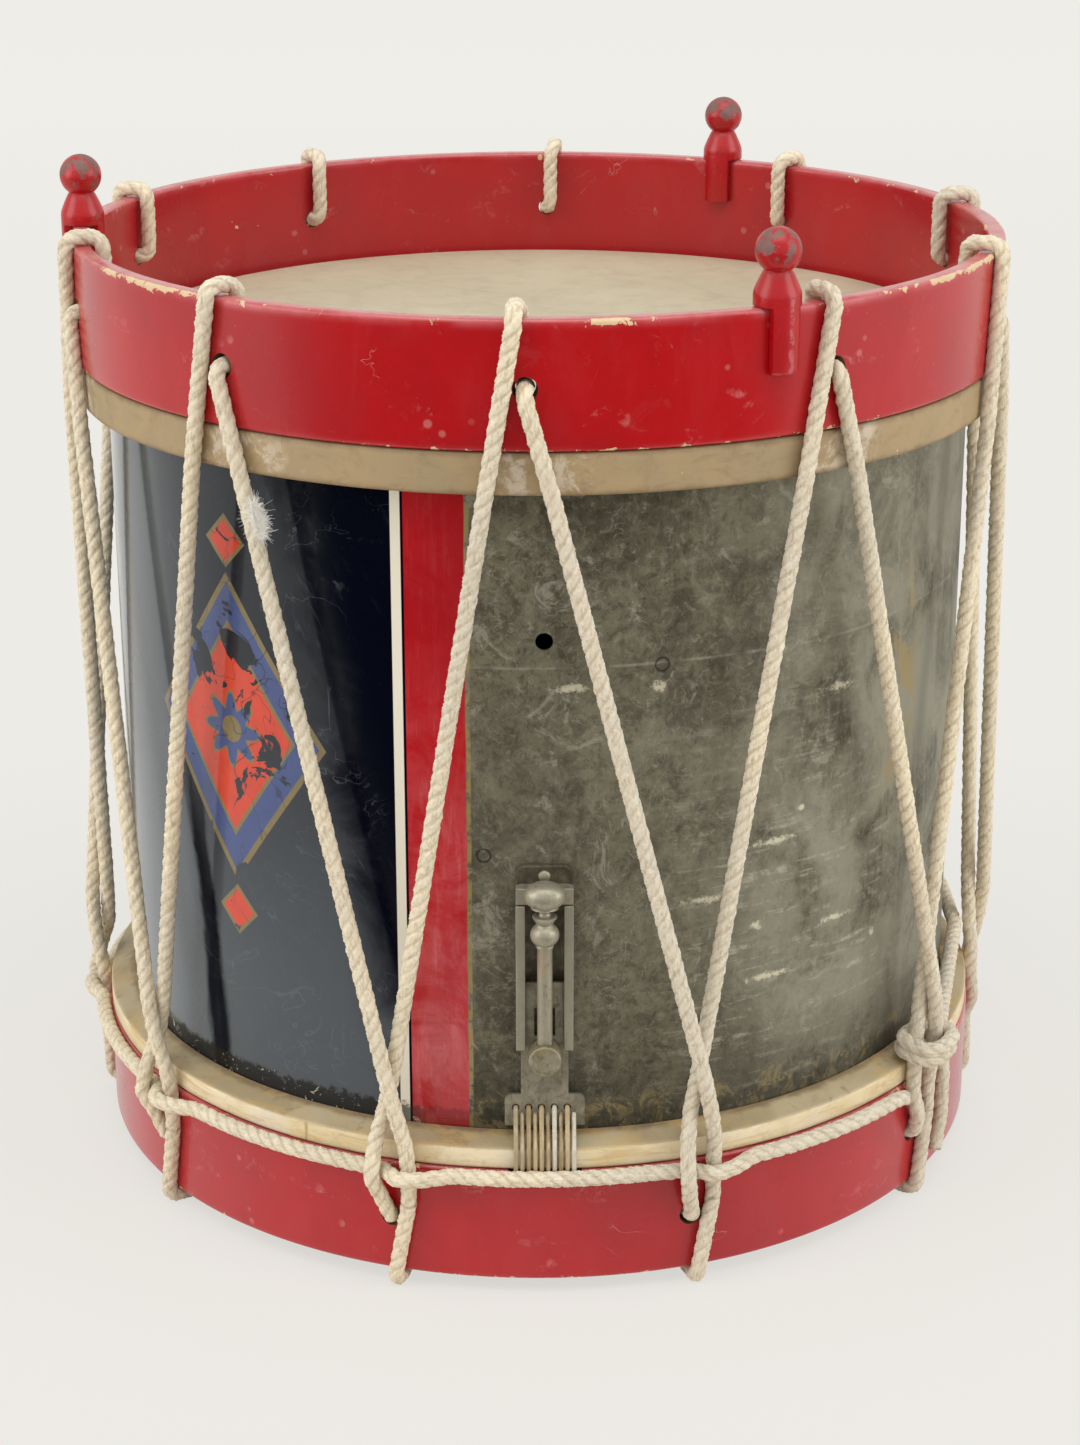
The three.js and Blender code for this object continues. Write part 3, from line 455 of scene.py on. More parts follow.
def hoop_finish(colours, name, low, high):
    """Worn gloss red with chips to the cream undercoat along the rims, dents and pale scuffs. It has
    painted sheen towards the drum's sides and on the lower hoop, and rims paler in patches, partly from
    wear and partly as a painted highlight.
    """
    finish = Finish(name, roughness=0.3)
    tone, haze, rubs, fine = red_paint_layers(finish, colours)
    _, _, z = finish.split()
    radius = finish.radius()
    top_rim = finish.ramp(z, high - 5.0 * MM, high - 0.6 * MM)
    low_rim = finish.ramp(z, low + 3.0 * MM, low + 0.2 * MM)
    outer = finish.ramp(radius, HOOP_RADIUS - 2.2 * MM, HOOP_RADIUS - 0.8 * MM)
    inner = finish.ramp(radius, HOOP_RADIUS - HOOP_WALL + 1.6 * MM, HOOP_RADIUS - HOOP_WALL + 0.4 * MM)
    edge = top_rim.most(low_rim) * outer.most(inner * 0.8)
    signed = finish.azimuth()
    knocked = finish.band(signed, -42, -17, 5) * top_rim
    knocked = knocked.most(finish.band(signed, -108, -70, 8) * low_rim)
    patch = finish.spots(0.52, 0.64, 19, 2, 0.5).most(knocked)
    crumbs = finish.noise(190, 4, 0.68, 0.5)
    share = 0.24 if high > HOOP_LOW.z else 0.11
    chips = finish.ramp(edge * (0.1 + patch * (0.11 + (share - 0.11) * top_rim)) + crumbs, 0.74, 0.76)
    loose = finish.spots(0.75, 0.762, 95, 3, 0.75, 0.3)
    bare = chips.most(loose * 0.85)
    undercoat = finish.mix(finish.noise(160, 2), colours.undercoat, colours.undercoat_pale)
    soiled = finish.spots(0.58, 0.8, 38, 5, 0.7) * 0.25
    tone = finish.mix(soiled, tone, colours.grime)
    # The very top of the hoop is made paler, partly as scuffs and partly as a painted highlight on its
    # rounded top edge.
    crest = finish.ramp(z, high - 1.5 * MM, high - 0.3 * MM)
    crest = crest * finish.spots(0.25, 0.6, 60, 4, 0.7)
    # Painted sheen: the red is made paler away from the front, towards the sides, and on the lower
    # hoop.
    painted_sheen = finish.ramp(abs(signed + 90), 12, 50) * 0.10 + finish.ramp(z, 0.12, 0.06) * 0.08
    tone = finish.mix(painted_sheen, tone, colours.red_haze_and_sheen)
    tone = finish.mix(crest * 0.5, tone, colours.scuff)
    # The rims are made paler in patches, most at the top: partly wear, partly a painted highlight on
    # the rounded edges.
    rim_wear_and_highlight = edge * finish.spots(0.3, 0.7, 45, 3, 0.6) * (0.25 + 0.5 * top_rim)
    tone = finish.mix(rim_wear_and_highlight, tone, colours.red_haze_and_sheen)
    flats = finish.streaks(0.60, 0.72, (34, 34, 70), 3, 0.6, 0.5)
    scuffs = flats * finish.spots(0.48, 0.66, 210, 5, 0.75, 0.8)
    tone = finish.mix(scuffs * 0.5, tone, colours.scuff)
    dents = finish.threads(42, 0.005, 0.9) * finish.spots(0.62, 0.70, 30, 3, 0.6)
    tone = finish.mix(dents * 0.45, tone, colours.scuff)
    pits = finish.ramp(finish.cells(70), 0.14, 0.08) * finish.spots(0.54, 0.60, 24, 3)
    tone = finish.mix(pits * 0.4, tone, colours.scuff)
    finish.set("Base Color", finish.mix(bare, tone, undercoat))
    finish.set("Roughness", 0.2 + 0.12 * haze + 0.25 * rubs * 0.5 + 0.4 * bare + 0.3 * scuffs)
    grain = finish.noise(1.0, 3, 0.5, 0, finish.stretched(60, 60, 500))
    finish.bump(haze * 0.6 + grain * 0.05 + fine * 0.03 - bare * 0.6 - dents * 0.3, 0.5 * MM, 0.6)
    finish.set("Specular IOR Level", 0.35)
    finish.set("Coat Weight", 0.3)
    finish.set("Coat Roughness", 0.12)
    return finish


def peg_finish(colours):
    """Red paint rubbed to grey and wood on the ball and along the ridge of each leg."""
    finish = Finish("worn_peg_paint", roughness=0.32)
    tone, haze, _, fine = red_paint_layers(finish, colours)
    x, y, z = finish.split()
    crown = finish.ramp(z, HOOP_HIGH.z + 11 * MM, HOOP_HIGH.z + 25 * MM)
    patch = finish.noise(170, 4, 0.7, 0.4)
    rubbed = finish.ramp(crown * 0.2 + patch, 0.64, 0.71) * 0.85
    tone = finish.mix(finish.ramp(patch, 0.40, 0.62) * 0.5, tone, colours.red_worn_and_shaded)
    ridge = 0.0
    for azimuth in PEG_AZIMUTHS:
        turn = math.radians(azimuth + 0.35)
        off = abs(x * math.sin(turn) - y * math.cos(turn))
        ridge = finish.ramp(off, 2.0 * MM, 0.6 * MM).most(ridge)
    outside = finish.ramp(finish.radius(), HOOP_RADIUS + 1 * MM, HOOP_RADIUS + 3 * MM)
    below = finish.ramp(z, HOOP_HIGH.z + 6 * MM, HOOP_HIGH.z + 3 * MM)
    foot = finish.ramp(z, HOOP_HIGH.z - 22.2 * MM, HOOP_HIGH.z - 23.4 * MM)
    streak = (ridge * below).most(foot * 0.8) * outside
    legs = finish.ramp(streak * 0.26 + finish.noise(330, 4, 0.75, 0.4), 0.68, 0.76)
    bare = finish.mix(finish.noise(420, 3), colours.peg_soiled, colours.peg_bare)
    tone = finish.mix(legs * 0.75, tone, colours.red_haze_and_sheen)
    finish.set("Base Color", finish.mix(rubbed, tone, bare))
    finish.set("Roughness", 0.24 + 0.3 * rubbed + 0.1 * haze + 0.2 * legs)
    finish.bump(patch * 0.6 + fine * 0.08 - rubbed * 0.4 - legs * 0.2, 0.4 * MM, 0.7)
    return finish


# Azimuth in degrees, height, and reach to each side and up and down.
BRASS_MARKS = (
    (-86.8, 247.8 * MM, 5.5 * MM, 1.8 * MM),
    (-76.1, 247.1 * MM, 3.0 * MM, 2.2 * MM),
    (-49.8, 234.4 * MM, 7.0 * MM, 2.0 * MM),
    (-55.8, 188.2 * MM, 2.4 * MM, 1.6 * MM),
    (-70.3, 158.3 * MM, 9.0 * MM, 1.5 * MM),
    (-62.2, 143.1 * MM, 2.6 * MM, 2.0 * MM),
    (-49.4, 136.9 * MM, 8.0 * MM, 1.4 * MM),
    (-41.6, 123.2 * MM, 1.8 * MM, 2.0 * MM),
    (-60.1, 177.2 * MM, 10.0 * MM, 1.5 * MM),
    (-60.7, 120.6 * MM, 11.0 * MM, 1.6 * MM),
)
PLUGGED_HOLES = ((-97.4, 180.9 * MM), (-75.7, 255.5 * MM))
GOLD_LINE = (98.9, 99.45)
DARK_LINE = (106.85, 107.2)
WHITE_STRIPE = (107.2, 108.45)
ORNAMENT_AZIMUTH = 132.7
ORNAMENT_HEIGHT = 216 * MM


def ornament(finish, colours, across, up):
    """A lozenge with a rosette between two small diamonds. Gives its colour and its cover."""
    width, height = 47 * MM, 64 * MM
    reach = abs(across) / width + abs(up) / height
    centre = (across * across + up * up) ** 0.5
    turn = finish.node("ShaderNodeMath", {"operation": "ARCTAN2"}, {0: up, 1: across})
    petals = finish.node("ShaderNodeMath", {"operation": "COSINE"}, {0: turn * 8})
    flower = centre - (13 * MM + 3.2 * MM * petals)
    colour = finish.mix(finish.ramp(reach, 0.935, 0.925), colours.ornament_gold, colours.ornament_blue)
    colour = finish.mix(finish.ramp(reach, 0.70, 0.69), colour, colours.ornament_gold)
    colour = finish.mix(finish.ramp(reach, 0.655, 0.645), colour, colours.ornament_red)
    colour = finish.mix(finish.ramp(flower, 0.3 * MM, -0.3 * MM), colour, colours.ornament_gold)
    colour = finish.mix(finish.ramp(flower, -1.2 * MM, -1.8 * MM), colour, colours.ornament_blue)
    colour = finish.mix(finish.ramp(centre, 5.6 * MM, 5.2 * MM), colour, colours.ornament_gold)
    cover = finish.ramp(reach, 1.0, 0.99)
    offset = abs(up) - 76 * MM
    small = abs(across) / (11 * MM) + abs(offset) / (11 * MM)
    tip = finish.mix(finish.ramp(small, 0.80, 0.76), colours.ornament_gold, colours.ornament_red)
    tipped = finish.ramp(small, 1.0, 0.96)
    return finish.mix(tipped, colour, tip), cover.most(tipped)


def bare_brass(finish, colours, signed, z):
    """Tarnish in clouds and streaks, with rubs, specks and two plugged holes, and painted light: a
    paler highlight on the right front and a pale sheen near the right side.

    Gives the colour, what shapes the rest of the finish, and where the metal is marked."""
    mottle = finish.noise(26, 8, 0.66, 0.6)
    clouds = finish.noise(7, 4, 0.6, 0.6)
    granular = finish.noise(260, 6, 0.78, 0.6)
    swirl = finish.noise(62, 6, 0.7, 2.2)
    metal = finish.mix(finish.ramp(clouds, 0.34, 0.66), colours.brass_dark, colours.brass)
    metal = finish.mix(finish.ramp(mottle, 0.46, 0.66) * 0.6, metal, colours.brass_light)
    metal = finish.mix(finish.ramp(mottle, 0.46, 0.36) * 0.25, metal, colours.brass_deep)
    metal = finish.mix(finish.ramp(swirl, 0.54, 0.70) * 0.35, metal, colours.brass_bloom_and_highlight)
    crisp = finish.noise(115, 7, 0.74, 0.7)
    metal = finish.mix(finish.ramp(crisp, 0.465, 0.43) * 0.4, metal, colours.brass_deep)
    metal = finish.mix(finish.ramp(crisp, 0.54, 0.575) * 0.4, metal, colours.brass_light)
    metal = finish.mix(finish.ramp(granular, 0.48, 0.40) * 0.4, metal, colours.brass_deep)
    metal = finish.mix(finish.ramp(granular, 0.55, 0.64) * 0.45, metal, colours.brass_bloom_and_highlight)
    broken = finish.spots(0.46, 0.6, 130, 3, 0.7)
    hairs = (finish.threads(52, 0.007, 1.1) * finish.ramp(clouds, 0.42, 0.62)).most(
        finish.threads(110, 0.006, 0.8) * finish.ramp(mottle, 0.5, 0.62)) * broken
    metal = finish.mix(hairs * 0.3, metal, colours.scratch)
    wisps = finish.spots(0.57, 0.64, 48, 8, 0.76, 1.0)
    metal = finish.mix(wisps * 0.45, metal, colours.scratch)
    curls = finish.threads(72, 0.012, 1.6) * finish.spots(0.42, 0.60, 11, 3, 0.6)
    metal = finish.mix(curls * 0.5, metal, colours.brass_bloom_and_highlight)
    hung = finish.streaks(0.52, 0.62, (38, 38, 5), 4, 0.6, 0.4)
    metal = finish.mix(hung * finish.band(signed, -70, -47, 4) * 0.4, metal, colours.brass_dark)
    scribed = finish.band(z + (finish.noise(9, 2) - 0.5) * 5 * MM, 255.4 * MM, 256.4 * MM, 0.4 * MM)
    scribed = scribed * finish.spots(0.40, 0.58, 36, 5, 0.7)
    metal = finish.mix(scribed * 0.4, metal, colours.scratch)
    drawn = finish.noise(1.0, 6, 0.7, 0.3, finish.stretched(210, 210, 14))
    side = finish.ramp(signed, -56, -32)
    metal = finish.mix(finish.ramp(drawn, 0.5, 0.7) * (0.15 + 0.4 * side), metal, colours.brass_bloom_and_highlight)
    metal = finish.mix(finish.ramp(drawn, 0.48, 0.34) * (0.2 + 0.3 * side), metal, colours.brass_dark)
    # Painted highlight: the brass is made paler towards the right front and in a band across the middle
    # height, where light falls on it.
    lit = finish.ramp(signed, -78, -44) * 0.68 + finish.band(z, 0.12, 0.24, 0.03) * 0.15
    metal = finish.mix(lit * finish.ramp(mottle, 0.3, 0.62), metal, colours.brass_bloom_and_highlight)
    rubbed = finish.streaks(0.51, 0.63, (24, 24, 260), 5, 0.7, 0.4)
    low_part = finish.ramp(z, 0.29, 0.14) * finish.ramp(signed, -80, -68)
    low_part = low_part * finish.ramp(signed, -30, -46)
    rubbed = rubbed * low_part * finish.spots(0.43, 0.58, 130, 6, 0.78)
    metal = finish.mix(rubbed * 0.6, metal, colours.scratch)
    specks = finish.spots(0.72, 0.74, 150, 3, 0.8, 0.8)
    specks = specks * finish.spots(0.48, 0.6, 16, 2)
    metal = finish.mix(specks * 0.8, metal, colours.speck)
    ragged = (finish.noise(330, 7, 0.82) - 0.5) * 5.6
    for azimuth, height, across, tall in BRASS_MARKS:
        sideways = (signed - azimuth) * SHELL_DEGREE
        off_x, off_z = sideways / across, (z - height) / tall
        reach = (off_x * off_x + off_z * off_z) ** 0.5 + ragged
        metal = finish.mix(finish.ramp(reach, 1.15, 0.2) * 0.7, metal, colours.speck)
    # Painted sheen: a pale grey is painted in patches near the right side of the shell, where it turns
    # away from the front.
    warm = finish.band(signed, -35, -23, 6) * finish.spots(0.4, 0.6, 14, 4, 0.65, 0.5)
    metal = finish.mix(warm * 0.5, metal, colours.brass_pale)
    bared = finish.band(signed, -41, -33, 2) * finish.band(z, 165 * MM, 265 * MM, 20 * MM)
    bared = bared * finish.streaks(0.48, 0.58, (60, 60, 24), 5, 0.7, 0.6)
    metal = finish.mix(bared * 0.8, metal, colours.brass_warm)
    foot = finish.ramp(z, 108 * MM, 76 * MM)
    metal = finish.mix(foot * 0.45, metal, colours.brass_deep)
    low = finish.ramp(z, 84 * MM, 76 * MM)
    metal = finish.mix(low * finish.ramp(crisp, 0.5, 0.58) * 0.5, metal, colours.brass_warm)
    for azimuth, height in PLUGGED_HOLES:
        sideways = (signed - azimuth) * SHELL_DEGREE
        reach = (sideways * sideways + (z - height) * (z - height)) ** 0.5
        ring = finish.band(reach, 2.2 * MM, 3.0 * MM, 0.4 * MM)
        metal = finish.mix(ring * 0.8, metal, colours.brass_black)
    return metal, clouds, mottle, granular, specks.most(rubbed)


def navy_panel(finish, colours, turn, z):
    """Navy gloss with a milky part, smears and the flaked ornament. The milky part is haze and painted
    sheen, and a slanting painted dark reflection runs through it.

    Gives the colour, its haze, dust and waves, where it is dull, and what the ornament covers."""
    winding = abs(finish.noise(15, 4, 0.6, 1.3) - 0.5)
    worn = finish.spots(0.44, 0.58, 13, 3, 0.6)
    smears = finish.ramp(winding, 0.05, 0.0) * finish.spots(0.52, 0.68, 150, 6, 0.78)
    crazing = (finish.ramp(winding, 0.004, 0.001) * worn).most(smears * worn * 0.7)
    hairline = finish.threads(60, 0.004, 0.7) * finish.spots(0.58, 0.66, 30, 4, 0.7)
    crazing = crazing.most(hairline * 0.4)
    dust_and_sheen = finish.spots(0.6, 0.8, 240, 5, 0.75, 0.7)
    haze = finish.spots(0.45, 0.75, 12, 5, 0.65, 0.8)
    wave = finish.noise(13, 6, 0.66, 1.3) - 0.5
    # clear is the part of the panel away from the stripe, which takes the milky haze and the painted
    # sheen; near the stripe the navy stays black.
    clear = finish.ramp(turn - 109 - (z - 0.134) * 66 + wave * 18, -2.5, 7.5)
    leaning = turn - (z - 0.074) * 30
    # Painted dark reflection: a slanting band in the lower part is kept free of the painted sheen, and
    # the coat is thinned there.
    gap = finish.band(leaning + wave * 4, 135.6, 139.0, 0.6) * finish.ramp(z, 0.26, 0.15)
    # Painted sheen: over a light haze, the panel is greyed more towards the lower edge, towards the far
    # side and past a slanting line.
    milky_haze_and_sheen = 0.08 + finish.ramp(z, 0.25, 0.10) * 0.26 + finish.ramp(turn, 134, 152) * 0.18
    milky_haze_and_sheen = (milky_haze_and_sheen + finish.ramp(leaning, 139, 142) * 0.1) * clear * (1 - gap)
    navy = finish.mix(haze * clear * 0.4, colours.navy, colours.navy_hazed)
    navy = finish.mix(milky_haze_and_sheen, navy, colours.dust_and_sheen)
    fringe = finish.ramp(abs(clear - 0.5), 0.5, 0.2)
    right = (109 - turn) * SHELL_DEGREE
    slanting = finish.join((right * 0.45 - z * 0.9) * 20, (right * 0.9 + z * 0.45) * 95, 0)
    smeared = finish.spots(0.54, 0.70, 1.0, 7, 0.72, 1.2, slanting) * (0.12 + 0.5 * fringe)
    smeared = smeared * finish.spots(0.42, 0.58, 26, 4, 0.7, 0.8)
    navy = finish.mix(smeared * 0.42, navy, colours.dust_and_sheen)
    marked = dust_and_sheen * (0.05 + 0.13 * clear) + crazing * (0.18 + 0.24 * fringe)
    navy = finish.mix(marked, navy, colours.dust_and_sheen)

    across = (abs(turn) - ORNAMENT_AZIMUTH) * -SHELL_DEGREE
    up = z - ORNAMENT_HEIGHT
    flakes = finish.spots(0.60, 0.615, 46, 4, 0.62, 0.9)
    cracks = finish.threads(26, 0.006, 0.8) * 0.8
    art, cover = ornament(finish, colours, across, up)
    kept = cover * (1 - flakes) * (1 - cracks * 0.7)
    faded = finish.mix(finish.noise(150, 4, 0.7) * 0.35, art, colours.navy_hazed)
    navy = finish.mix(kept, navy, faded)
    return navy, haze, dust_and_sheen, wave, (1 - clear).most(gap), kept, flakes * cover


def shell_finish(colours):
    """Tarnished brass sheet with painted panels: navy gloss, a white and a red stripe, a gold line."""
    finish = Finish("painted_brass_sheet", roughness=0.4)
    _, _, z = finish.split()
    turn = finish.azimuth(mirrored=True)
    signed = finish.azimuth()
    edge = turn + (finish.noise(30, 3, 0.6) - 0.5) * 0.35
    metal, clouds, mottle, granular, marked = bare_brass(finish, colours, signed, z)
    navy, haze, dust_and_sheen, wave, dull, kept, flaked = navy_panel(finish, colours, turn, z)
    crumbled = z + (finish.noise(150, 6, 0.76) - 0.5) * 15 * MM
    dirt = finish.ramp(crumbled, FOOT_HIGH.z + 20.5 * MM, FOOT_HIGH.z + 18.0 * MM)
    dirt = dirt * (0.4 + 0.5 * finish.ramp(turn, 104, 108))
    flecks = finish.spots(0.61, 0.65, 260, 4, 0.8, 0.6) * dirt * dirt
    red, _, _, _ = red_paint_layers(finish, colours)
    red_streaks = finish.streaks(0.50, 0.64, (380, 380, 34), 5, 0.75, 0.2)
    stripe_haze = finish.spots(0.36, 0.62, 34, 6, 0.7, 0.8) * finish.ramp(z, 0.29, 0.12)
    hazed = 0.07 + red_streaks * (0.08 + 0.34 * stripe_haze) + stripe_haze * 0.6
    # The stripe is also made paler towards the bottom.
    red = finish.mix(hazed + finish.ramp(z, 0.21, 0.12) * 0.14, red, colours.red_haze_and_sheen)
    red = finish.mix(finish.ramp(wave, 0.05, 0.12) * 0.4, red, colours.red_worn_and_shaded)
    gold_worn = finish.spots(0.40, 0.54, 110, 4, 0.75) * 0.8
    tone = finish.mix(finish.ramp(edge, GOLD_LINE[1] - 0.05, GOLD_LINE[1] + 0.1), metal, red)
    tone = finish.mix(finish.band(edge, *GOLD_LINE, 0.08) * gold_worn, tone, colours.gold)
    tone = finish.mix(finish.band(turn, *DARK_LINE, 0.06), tone, colours.navy)
    past_red, past_white = (finish.ramp(turn, line - 0.05, line + 0.05) for line in WHITE_STRIPE)
    tone = finish.mix(past_red, tone, colours.stripe_white)
    tone = finish.mix(past_white, tone, navy)
    tone = finish.mix(dirt * 0.9, tone, colours.brass_black)
    finish.set("Base Color", finish.mix(flecks * 0.75, tone, colours.speck))
    painted = finish.ramp(edge, GOLD_LINE[0] - 0.1, GOLD_LINE[0] + 0.1)
    finish.set("Metallic", (1 - painted) * (0.3 - 0.28 * marked) * (1 - dirt))
    gloss = (past_white * (1 - dull * 0.9)).most(1 - finish.ramp(turn, 106, 107))
    finish.set("Coat Weight", painted * (0.05 + 0.8 * gloss) * (1 - dirt))
    finish.set("Coat Roughness", 0.1)
    finish.set("Specular IOR Level", 0.05)
    brass_rough = 0.34 + 0.2 * clouds + 0.16 * granular
    paint_rough = 0.2 + 0.14 * haze + 0.2 * dust_and_sheen * 0.4 + 0.25 * flaked
    finish.set("Roughness", brass_rough * (1 - painted) + paint_rough * painted)
    dents = finish.noise(11, 2, 0.5)
    height = dents * 1.4 + painted * 0.08 + kept * 0.1 + mottle * 0.1 + granular * 0.03
    finish.bump(height, 0.8 * MM, 0.5)
    return finish


def rope_finish(colours):
    """Three-strand cotton: pale crowns, grooves between the strands darkened as painted shade, and fine
    yarns along the rope.
    """
    finish = Finish("laid_cotton_rope", roughness=0.9)
    finish.set("Sheen Weight", 0.15)
    along, round_it, _ = finish.split(finish.node("ShaderNodeUVMap", {"uv_map": "lay"}, {}))
    crown = finish.node("ShaderNodeMath", {"operation": "COSINE"}, {0: round_it * (6 * math.pi)})
    crown = crown * 0.5 + 0.5
    turn = (round_it + along / ROPE_LAY) * (2 * math.pi)
    cosine = finish.node("ShaderNodeMath", {"operation": "COSINE"}, {0: turn})
    sine = finish.node("ShaderNodeMath", {"operation": "SINE"}, {0: turn})
    around = finish.join(cosine * ROPE_RADIUS, sine * ROPE_RADIUS, along * 0.3)
    yarns = finish.noise(900, 4, 0.65, 0.6, around)
    fluff = finish.noise(420, 5, 0.75, 0.8)
    base = finish.mix(finish.spots(0.35, 0.65, 7, 3, 0.5), colours.rope, colours.rope_grey)
    x, _, _ = finish.split()
    # Painted shade: the grooves between the strands are painted darker, more in some stretches than in
    # others.
    groove_shade_patches = finish.spots(0.35, 0.6, 60, 4, 0.7)
    grooves = finish.ramp(crown, 0.4, 0.0) * (0.15 + 0.35 * groove_shade_patches)
    base = finish.mix(grooves, base, colours.rope_groove)
    base = finish.mix(finish.ramp(yarns, 0.5, 0.36) * 0.45, base, colours.rope_groove)
    base = finish.mix(finish.ramp(fluff, 0.50, 0.68) * 0.6, base, colours.rope_pale)
    flecks = finish.spots(0.56, 0.66, 480, 4, 0.75)
    base = finish.mix(flecks * 0.45, base, colours.rope_warm)
    dark_flecks = finish.spots(0.44, 0.34, 560, 4, 0.75, 0.4, around)
    base = finish.mix(dark_flecks * 0.5, base, colours.rope_groove)
    brown = finish.spots(0.62, 0.68, 330, 4, 0.75, 0.3)
    base = finish.mix(brown * (0.15 + 0.3 * finish.ramp(x, 0.06, 0.17)), base, colours.rope_brown)
    soil = finish.spots(0.50, 0.76, 26, 5, 0.7, 0.4)
    base = finish.mix(soil * 0.3, base, colours.rope_soiled)
    finish.set("Base Color", base)
    finish.bump(crown * 0.1 + yarns * 0.8 + fluff * 0.9, 0.55 * MM, 1.0)
    return finish


def tuft_finish(colours):
    finish = Finish("frayed_cotton", roughness=0.9)
    shade = finish.noise(300, 2)
    finish.set("Base Color", finish.mix(shade * 0.6, colours.tuft, colours.rope_pale))
    finish.bump(finish.noise(2500, 2), 0.1 * MM, 0.5)
    return finish


def skin_finish(name, pale, dark, stain):
    """Old calfskin: cloudy, faintly veined, soiled by play, and darker where it is lapped."""
    finish = Finish(name, roughness=0.6)
    radius = finish.radius()
    clouds = finish.noise(9, 5, 0.62, 0.8)
    fibres = finish.noise(70, 7, 0.75, 0.4)
    veins = finish.ramp(finish.cells(16, "DISTANCE_TO_EDGE"), 0.05, 0.0)
    pores = finish.noise(900, 2, 0.6)
    tone = finish.mix(finish.ramp(clouds, 0.3, 0.72), pale, dark)
    tone = finish.mix(finish.ramp(fibres, 0.45, 0.75) * 0.35, tone, stain)
    tone = finish.mix(veins * finish.ramp(clouds, 0.4, 0.6) * 0.12, tone, stain)
    ring = finish.ramp(radius, 0.155, 0.18) * finish.spots(0.3, 0.7, 30, 4, 0.6)
    tone = finish.mix(ring * 0.4, tone, stain)
    finish.set("Base Color", tone)
    finish.set("Roughness", 0.5 + 0.25 * clouds)
    finish.bump(clouds * 0.4 + fibres * 0.3 + pores * 0.05, 0.5 * MM, 0.5)
    return finish


def wrap_finish(colours, name, tone_a, tone_b, soil, low, high, ledge=None):
    """Skin lapped round the flesh hoop, rubbed smooth and browned by hands, and darkened towards its
    top and bottom edges as painted shade.

    Above the ledge, where dirt settles, it is grey and stained dark along the shell."""
    finish = Finish(name, roughness=0.55)
    drawn = finish.noise(1.0, 5, 0.7, 0.8, finish.stretched(60, 60, 220))
    patches = finish.noise(24, 4, 0.6, 0.6)
    mottle = finish.noise(95, 6, 0.75, 0.4)
    tone = finish.mix(finish.ramp(patches, 0.35, 0.7), tone_a, tone_b)
    tone = finish.mix(finish.ramp(drawn, 0.52, 0.75) * 0.3, tone, soil)
    tone = finish.mix(finish.ramp(mottle, 0.5, 0.72) * 0.35, tone, soil)
    specks = finish.spots(0.72, 0.76, 190, 3, 0.75, 0.4)
    rubbed = finish.spots(0.60, 0.68, 15, 3, 0.6, 0.5)
    rubbed = rubbed * finish.spots(0.42, 0.6, 80, 5, 0.75)
    beside = finish.node("ShaderNodeMath", {"operation": "COSINE"},
                         {0: (finish.azimuth() - TOP_PHASE - 3) * (LACES * math.pi / 180)})
    beside = finish.ramp(beside, 0.45, 0.85) * finish.spots(0.46, 0.60, 75, 5, 0.75, 0.4)
    tone = finish.mix(rubbed.most(beside) * 0.55, tone, colours.wrap_rubbed)
    _, _, z = finish.split()
    # Painted shade: the lap is darkened towards its top and bottom edges, in its soil colour.
    off = abs(z - (low + high) / 2) * (2 / (high - low)) + (finish.noise(70, 5, 0.7, 0.5) - 0.5) * 0.7
    tone = finish.mix(finish.ramp(off, 0.68, 1.0) * 0.6, tone, soil)
    cracks = finish.streaks(0.70, 0.72, (90, 90, 16), 3, 0.6, 0.4)
    tone = finish.mix(cracks * 0.45, tone, colours.wrap_brown)
    if ledge:
        dusty = finish.ramp(z, ledge - 0.3 * MM, ledge + 0.2 * MM)
        ragged = finish.radius() * -1 + finish.noise(110, 5, 0.7, 0.6) * 6 * MM
        grime = finish.ramp(ragged, -179.5 * MM, -176 * MM)
        soiled = finish.mix(finish.ramp(patches, 0.35, 0.65), colours.ledge_grey, colours.ledge_tan)
        stains = finish.spots(0.54, 0.64, 60, 6, 0.74, 0.8) * 0.5
        soiled = finish.mix(grime.most(stains) * 0.9, soiled, colours.wrap_brown)
        tone = finish.mix(dusty * 0.9, tone, soiled)
        golden = finish.streaks(0.48, 0.64, (30, 30, 240), 5, 0.7, 0.8)
        tone = finish.mix(golden * 0.5, tone, colours.wrap_golden)
    finish.set("Base Color", finish.mix(specks * 0.8, tone, colours.rope_pale))
    finish.set("Roughness", 0.42 + 0.3 * patches)
    finish.bump(drawn * 0.5 + patches * 0.7, 0.5 * MM, 0.7)
    return finish


def wood_finish(colours):
    finish = Finish("bare_wood_grain", roughness=0.7)
    grain = finish.noise(1.0, 5, 0.6, 0.6, finish.stretched(60, 60, 600))
    finish.set("Base Color", finish.mix(grain, colours.wood, colours.wood_dark))
    finish.bump(grain, 0.3 * MM, 0.5)
    return finish


